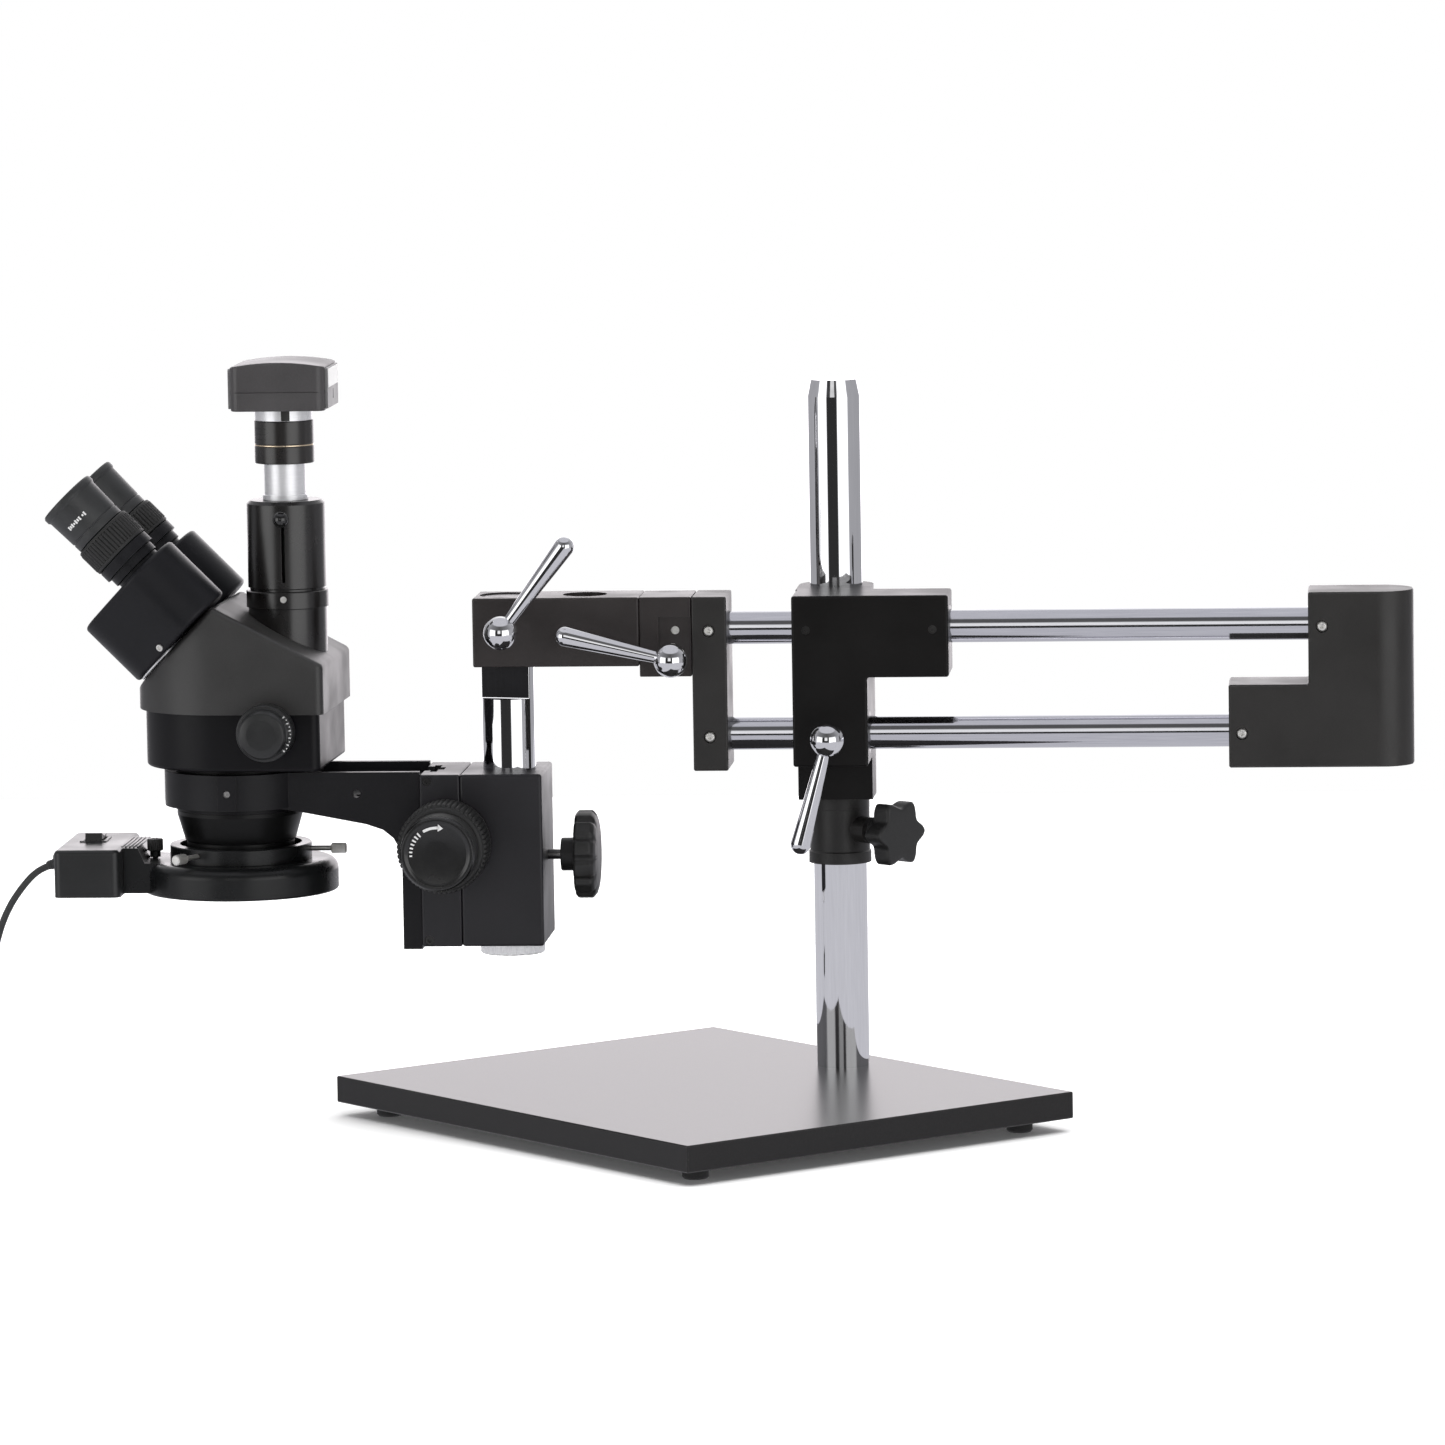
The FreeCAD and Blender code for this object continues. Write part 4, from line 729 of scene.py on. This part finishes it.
def make_tension_mark():
    """Arc with an arrow head, and ticks that shorten along it, on the near cap's face."""
    face = (KNOB_X, BOOM_Y - 67.0, KNOB_Z)
    heights = (19.7, 20.0)
    marks = [polar(face, DOWN_Y, (15.0, 16.6), (86, 121), heights, 10)]
    for k in range(7):
        turn = 131 + 8.5 * k
        marks.append(polar(face, DOWN_Y, (14.2 + 0.12 * k, 17.2 - 0.12 * k), (turn, turn + 3.4),
                           heights, 2))
    tip = math.radians(76)
    back = tip + 0.20
    along, across, upward = axes(DOWN_Y)
    head = []
    for radius, turn in ((15.8, tip), (18.0, back), (13.6, back)):
        for height in heights:
            head.append(Vector(face) + along * height + across * radius * math.cos(turn)
                        + upward * radius * math.sin(turn))
    marks.append((head, [(0, 2, 4), (1, 5, 3), (0, 1, 3, 2), (2, 3, 5, 4), (4, 5, 1, 0)]))
    piece("tension_mark", marks, "mark_white", "focus_drive")


def scallops(turn, radius, height):
    """Wave for lathe(): twelve hollows in the outer rim of the clamp knob."""
    if radius < 20:
        return 0.0
    return -1.9 * max(0.0, math.cos(12 * turn)) ** 1.5 * (radius - 18) / 8.4


def make_clamp_knob():
    clamp = (-155.5, BOOM_Y, CLAMP_Z)
    piece("clamp_grip", [lathe(
        [(3.1, -8.9), (9.6, -8.9), (10.0, -8.4), (10.0, -1.0), (11.5, 0.0), (24.6, 0.0),
         (26.4, 1.6), (26.4, 10.2), (24.2, 12.2), (20.5, 13.4), (12, 14.2), (0, 14.4)], clamp,
        (1, 0, 0), 288, scallops, 0.7)], "knob_plastic", "clamp_knob",
        ("post_clamp_knob",))
    piece("clamp_screw", [lathe(
        [(0, -23.0), (2.5, -23.0), (3.0, -22.3), (3.0, -1.0), (0, -1.0)], clamp, (1, 0, 0), 40,
        screw_thread)], "steel", "clamp_knob")


def make_focus_screws():
    piece("housing_screws", [
        socket_head((-241.4, FOCUS_FRONT + 0.5, z), DOWN_Y, 2.7, 1.6) for z in (209.2, 113.2)],
        "black_steel", "focus_body")
    piece("ring_set_screw", [socket_head((HEAD_X - 1.6, BOOM_Y - 44.6, 203.4), DOWN_Y, 1.95, 0.9)],
          "steel", "focus_slider")


make_focus_knobs()
make_tension_mark()
make_clamp_knob()
make_focus_screws()


# ------------------------------------------------------------------ head
def make_zoom_knobs():
    knobs = []
    for side in (-1, 1):
        knobs.append(lathe(
            [(0, 0), (15.6, 0), (16.2, 0.6), (16.2, 4.0), (17.0, 4.6), (17.0, 15.3), (16.4, 16.0),
             (14.9, 16.1), (14.7, 22.6), (13.2, 24.9), (9, 25.6), (0, 25.8)],
            (ZOOM_X, BOOM_Y + side * 54.3, ZOOM_Z), (0, side, 0), 240,
            ribs(40, 0.7, 5.2, 15.0, 16.5), 0.5))
    piece("zoom_grips", knobs, "box_plastic", "zoom", ("zoom_knobs",))
    base = (ZOOM_X, BOOM_Y - 54.3, ZOOM_Z)
    marks = []
    for k in range(11):
        turn = -42 + 8.0 * k
        inner = 15.0 if k % 2 == 0 else 15.7
        marks.append(polar(base, DOWN_Y, (inner, 16.3), (turn, turn + 2.6), (15.7, 16.35), 2))
    piece("zoom_scale", marks, "mark_white", "zoom")


def make_eyepiece(name, side, up):
    """Diopter ring, eyecup pulled out by up, lens, ticks, and the flange the housing turns on."""
    eye = facet(EYE_T, BOOM_Y + side * EYE_OFF, 0)
    body = "prism_" + name
    piece("diopter_grip_" + name, [lathe(
        [(15.1, 543.3), (18.2, 543.3), (18.8, 543.9), (18.8, 545.2), (19.1, 545.6),
         (19.1, 558.2), (18.8, 558.6), (18.8, 559.7), (18.2, 560.3), (15.1, 560.3),
         (15.1, 543.3)], eye, FACET_AXIS, 288, ribs(48, 0.75, 545.4, 558.4, 17.0), 0.25)],
        "grip_rubber", "diopter_" + name, ("diopter_ring_" + name,))
    sleeve = [(11.0, 524), (11.0, 560.6), (16.7, 560.6), (17.2, 561.0), (17.3, 565.6),
              (16.9, 565.9), (16.9, 566.5), (17.35, 566.8)]
    cup = [(17.9, 585.2), (18.8, 586.4), (18.8, 589.2), (18.0, 590.3), (16.6, 590.2),
           (15.2, 588.0), (13.2, 582.0), (12.6, 579.4)]
    bore = [(11.6, 578.6), (11.0, 577.6), (9.0, 577.4), (9.0, 524), (11.0, 524)]
    raised = [(radius, height + up) for radius, height in cup]
    piece("eyecup_" + name, [lathe(sleeve + raised + bore, eye, FACET_AXIS, 96)], "cup_rubber",
          body, ("eyepiece_" + name,))
    piece("eye_lens_" + name, [lathe(
        [(0, 578.4), (3.0, 578.3), (6.0, 577.9), (9.05, 577.1), (9.05, 573.0), (0, 572.4)],
        eye, FACET_AXIS, 64, None, 0.0)], "lens_glass", body)
    ticks = []
    middle = 574.4 + up
    for k in range(9):
        turn = 148 + 5.2 * k + (3.0 if k > 6 else 0.0)
        tall = (1.3, 0.9, 1.2, 0.6)[k % 4]
        ticks.append(polar(eye, FACET_AXIS, (17.3, 17.92), (turn, turn + 3.2),
                           (middle - tall, middle + tall), 3))
    piece("eye_mark_" + name, ticks, "mark_white", body)
    pivot = facet(PIVOT_T, BOOM_Y + side * PIVOT_OFF, 0)
    piece("prism_flange_" + name, [lathe(
        [(13.5, 481.8), (19.5, 481.8), (19.5, 482.7), (13.5, 482.7), (13.5, 481.8)], pivot,
        FACET_AXIS, 64, None, 0.2)], "aluminium", body)


make_zoom_knobs()
make_eyepiece("near", -1, 0.0)
make_eyepiece("far", 1, CUP_OUT)
piece("prism_set_screws", [
    socket_head(facet(-72.8, BOOM_Y - 55.2, 486.6), (-0.323, -0.889, -0.323), 2.1, 0.7)],
    "screw_zinc", "prism_near")


# ------------------------------------------------------------------ photo tube and camera
def make_camera_trim():
    tube = (TUBE_X, BOOM_Y, 0)
    piece("tube_set_screw", [socket_head((TUBE_X + 1.6, BOOM_Y - 25.4, 318.2), DOWN_Y, 1.9, 0.6)],
          "screw_zinc", "head")
    # painted shade: a dark sleeve inside the tube that stands in for the shadow seen through the
    # lever's slot
    piece("tube_slot_painted_shade", [lathe(
        [(14.0, 325.0), (14.5, 325.0), (14.5, 371.8), (14.0, 371.8), (14.0, 325.0)], tube, UP, 64,
        None, 0.0)], "slot_painted_shade", "head")
    piece("adapter_gold_line", [lathe(
        [(17.2, 409.1), (17.85, 409.2), (17.85, 409.85), (17.2, 410.0), (17.2, 409.1)], tube, UP,
        96, None, 0.1)], "gold", "camera")
    piece("adapter_label", [
        polar(tube, UP, (17.6, 17.92), (206, 238), (z, z + 0.5), 8) for z in (413.0, 416.2, 419.4)],
        "black_steel", "camera")
    piece("mount_notch", [polar(tube, UP, (16.3, 17.45), (272, 289), (424.5, 431.1), 6)],
          "collar_black", "camera")
    x = TUBE_X + 30.0           # the camera's end plate
    label = brick((x + 0.05, BOOM_Y - 22.0, 444.8), (x + 0.25, BOOM_Y + 22.0, 456.0))
    piece("camera_label", [label], "label_white", "camera", bevel=0.1)


make_camera_trim()


# ------------------------------------------------------------------ ring light
def make_thumbscrew(name, degrees):
    turn = math.radians(degrees)
    out = (math.cos(turn), math.sin(turn), 0)
    piece("thumb_head_" + name, [lathe(
        [(0, 33.0), (1.3, 33.0), (1.6, 33.5), (1.6, 54.6), (2.6, 54.8), (3.1, 55.3),
         (3.1, 63.4), (2.5, 64.1), (0, 64.1)], (HEAD_X, BOOM_Y, 165.2), out, 144,
        ribs(24, 0.35, 55.2, 63.6, 2.8), 0.2)], "screw_zinc", "thumb_" + name,
        ("thumbscrew_" + name,))


def make_dimmer():
    piece("dimmer_cap", [lathe(
        [(0, 155), (1.6, 155), (1.6, 160.3), (3.2, 160.5), (3.2, 164.0), (4.0, 164.2),
         (4.8, 164.7), (4.8, 171.0), (4.3, 171.6), (2.2, 171.6), (1.9, 171.2), (0, 171.1)],
        (DIMMER_X, BOOM_Y, 0), UP, 144, ribs(18, 0.5, 164.8, 171.2, 4.2), 0.2)],
        "knob_plastic", "dimmer", ("dimmer_knob",))
    mark = brick((DIMMER_X, BOOM_Y - 3.6, 171.4), (DIMMER_X + 0.6, BOOM_Y - 1.2, 171.75))
    piece("dimmer_mark", [mark], "mark_white", "dimmer", bevel=0.08)


def make_box_trim():
    """Four bars round the rocker switch, and the ribs on the box's neck."""
    x0, x1, y0, y1 = -456.2, -440.2, BOOM_Y - 4.4, BOOM_Y + 19.4
    edge = 2.0
    bars = []
    for low, high in (((x0, y0), (x1, y0 + edge)), ((x0, y1 - edge), (x1, y1)),
                      ((x0, y0 + edge), (x0 + edge, y1 - edge)),
                      ((x1 - edge, y0 + edge), (x1, y1 - edge))):
        bars.append(brick((*low, BOX_TOP - 0.5), (*high, BOX_TOP + 0.7)))
    piece("rocker_bezel", bars, "box_plastic", "ring_light", bevel=0.3)
    neck_ribs = []
    for k in range(6):
        x = -430.6 + 2.4 * k
        neck_ribs.append(brick((x, BOOM_Y - 24, 168.4), (x + 1.1, BOOM_Y + 24, 169.9)))
    piece("neck_ribs", neck_ribs, "box_plastic", "ring_light", bevel=0.3)


def make_leds():
    """Two rings of LEDs; the outer ring is turned by half a step."""
    leds = []
    for radius, count, shift in ((41.2, 32, 0.0), (49.8, 40, 0.5)):
        for k in range(count):
            turn = 2 * math.pi * (k + shift) / count
            spot = (HEAD_X + radius * math.cos(turn), BOOM_Y + radius * math.sin(turn),
                    LIGHT_LOW + 0.6)
            leds.append(lathe([(2.4, 0), (2.3, 0.5), (1.7, 1.2), (0.9, 1.5), (0, 1.6)], spot,
                              (0, 0, -1), 12, None, 0.0))
    piece("led_domes", leds, "led_lens", "ring_light", sharp=60)


for name, degrees in (("right", 0.0), ("front", 240.0), ("rear", 120.0)):
    make_thumbscrew(name, degrees)
make_dimmer()
make_box_trim()
make_leds()


# ------------------------------------------------------------------ floor and world
FLOOR_FRONT = -1.12         # metres
FLOOR_BACK = 1.6
FLOOR_HALF = 1.3


def make_stage():
    corners = [(x, y, 0) for x, y in ((-FLOOR_HALF, FLOOR_FRONT), (FLOOR_HALF, FLOOR_FRONT),
                                      (FLOOR_HALF, FLOOR_BACK), (-FLOOR_HALF, FLOOR_BACK))]
    mesh = bpy.data.meshes.new("floor")
    mesh.from_pydata(corners, [], [(0, 1, 2, 3)])
    floor = bpy.data.objects.new("floor", mesh)
    scene.collection.objects.link(floor)
    paint = bpy.data.materials.new("floor_white")
    paint.use_nodes = True
    shader = paint.node_tree.nodes["Principled BSDF"]
    shader.inputs["Base Color"].default_value = (0.88, 0.88, 0.88, 1)
    shader.inputs["Roughness"].default_value = 0.9
    shader.inputs["Specular IOR Level"].default_value = 0.1
    shader.inputs["Emission Color"].default_value = (1, 1, 1, 1)
    # painted shadow: the floor glows white in the open, and the glow fades where something is close
    # above it
    nodes = Nodes(paint.node_tree)
    near = nodes.add("ShaderNodeAmbientOcclusion", {"samples": 8}, Distance=0.14).outputs["AO"]
    nodes.put(shader.inputs["Emission Strength"], nodes.fit(near, 0.04, 0.45, 0.42, 0.96))
    # polished metal shows the floor as the grey it has outside the lit area
    mirrored = nodes.add("ShaderNodeLightPath").outputs["Is Glossy Ray"]
    grey = nodes.add("ShaderNodeEmission", Color=(*STUDIO_GREY, 1), Strength=1.0)
    mix = nodes.add("ShaderNodeMixShader", Fac=mirrored)
    nodes.put(mix.inputs[1], shader.outputs[0])
    nodes.put(mix.inputs[2], grey.outputs[0])
    nodes.put(paint.node_tree.nodes["Material Output"].inputs["Surface"], mix.outputs[0])
    mesh.materials.append(paint)


# Brightness round the object, by angle from its front in degrees, at bench level and high up.
RING_LOW = ((-180, 2.5), (-156, 2.4), (-148, 0.38), (-72, 0.40), (-68, 1.7), (-32, 1.7),
            (-28, 0.03), (15, 0.03), (19, 1.7), (62, 1.7), (66, 0.40), (148, 0.38), (156, 2.4),
            (180, 2.5))
RING_HIGH = ((-180, 1.2), (-130, 0.5), (-60, 0.22), (0, 0.10), (60, 0.22), (130, 0.5), (180, 1.2))
# Above the bench the dark front has a bright patch in it.
RING_FRONT = RING_LOW[:7] + ((-14, 0.03), (-12, 1.0), (5, 1.0), (7, 0.03)) + RING_LOW[7:]
CEILING = (2.75, 2.75, 2.75)
BRIGHTEST = 4.0             # the level that a ramp's full colour stands for


def tint(level):
    """Dim walls are cool, the brightest are a little pink, and the rest are white."""
    if 0.2 < level < 0.7:
        return (1, 1, 1.05)
    if level > 2:
        return (1, 0.955, 0.985)
    return (1, 1, 1)


def level_ramp(nodes, share, ring):
    """Ramp of a ring's levels against a share of the way round, from 0 to 1."""
    ramp = nodes.add("ShaderNodeValToRGB", Fac=share)
    elements = ramp.color_ramp.elements
    for k, (angle, level) in enumerate(ring):
        place = (angle + 180) / 360
        stop = elements[k] if k < 2 else elements.new(place)
        stop.position = place
        stop.color = (*(level / BRIGHTEST * part for part in tint(level)), 1)
    scaled = nodes.add("ShaderNodeVectorMath", {"operation": "SCALE"}, Scale=BRIGHTEST)
    nodes.put(scaled.inputs[0], ramp.outputs[0])
    return scaled.outputs[0]


def make_world():
    """White studio: two soft boxes beside a dark front, grey sides, bright back and top."""
    world = bpy.data.worlds.new("studio")
    scene.world = world
    world.use_nodes = True
    tree = world.node_tree
    tree.nodes.clear()
    nodes = Nodes(tree)
    where = nodes.add("ShaderNodeTexCoord").outputs["Generated"]
    parts = nodes.add("ShaderNodeSeparateXYZ", Vector=where)
    back = nodes.maths("MULTIPLY", parts.outputs[1], -1.0)
    turn = nodes.maths("ARCTAN2", parts.outputs[0], back)
    share = nodes.maths("MULTIPLY_ADD", turn, 1 / (2 * math.pi))
    share.node.inputs[2].default_value = 0.5
    low_ring = level_ramp(nodes, share, RING_LOW)
    front_ring = level_ramp(nodes, share, RING_FRONT)
    high_ring = level_ramp(nodes, share, RING_HIGH)
    height = parts.outputs[2]
    sides = nodes.blend(nodes.fit(height, 0.0, 1.0, 0.0, 0.02), low_ring, front_ring)
    sides = nodes.blend(nodes.fit(height, 0.0, 1.0, 0.30, 0.42), sides, high_ring)
    path = nodes.add("ShaderNodeLightPath")
    # the ceiling lights the floor strongly, but polished metal shows it as grey
    ceiling = nodes.blend(path.outputs["Is Glossy Ray"], CEILING, STUDIO_GREY)
    light = nodes.blend(nodes.fit(height, 0.0, 1.0, 0.74, 0.80), sides, ceiling)
    colour = nodes.blend(path.outputs["Is Camera Ray"], light, (1.0, 1.0, 1.0))
    background = nodes.add("ShaderNodeBackground", Color=colour, Strength=1.0)
    output = nodes.add("ShaderNodeOutputWorld")
    tree.links.new(background.outputs[0], output.inputs[0])


make_stage()
make_world()
scene.view_settings.view_transform = "Standard"
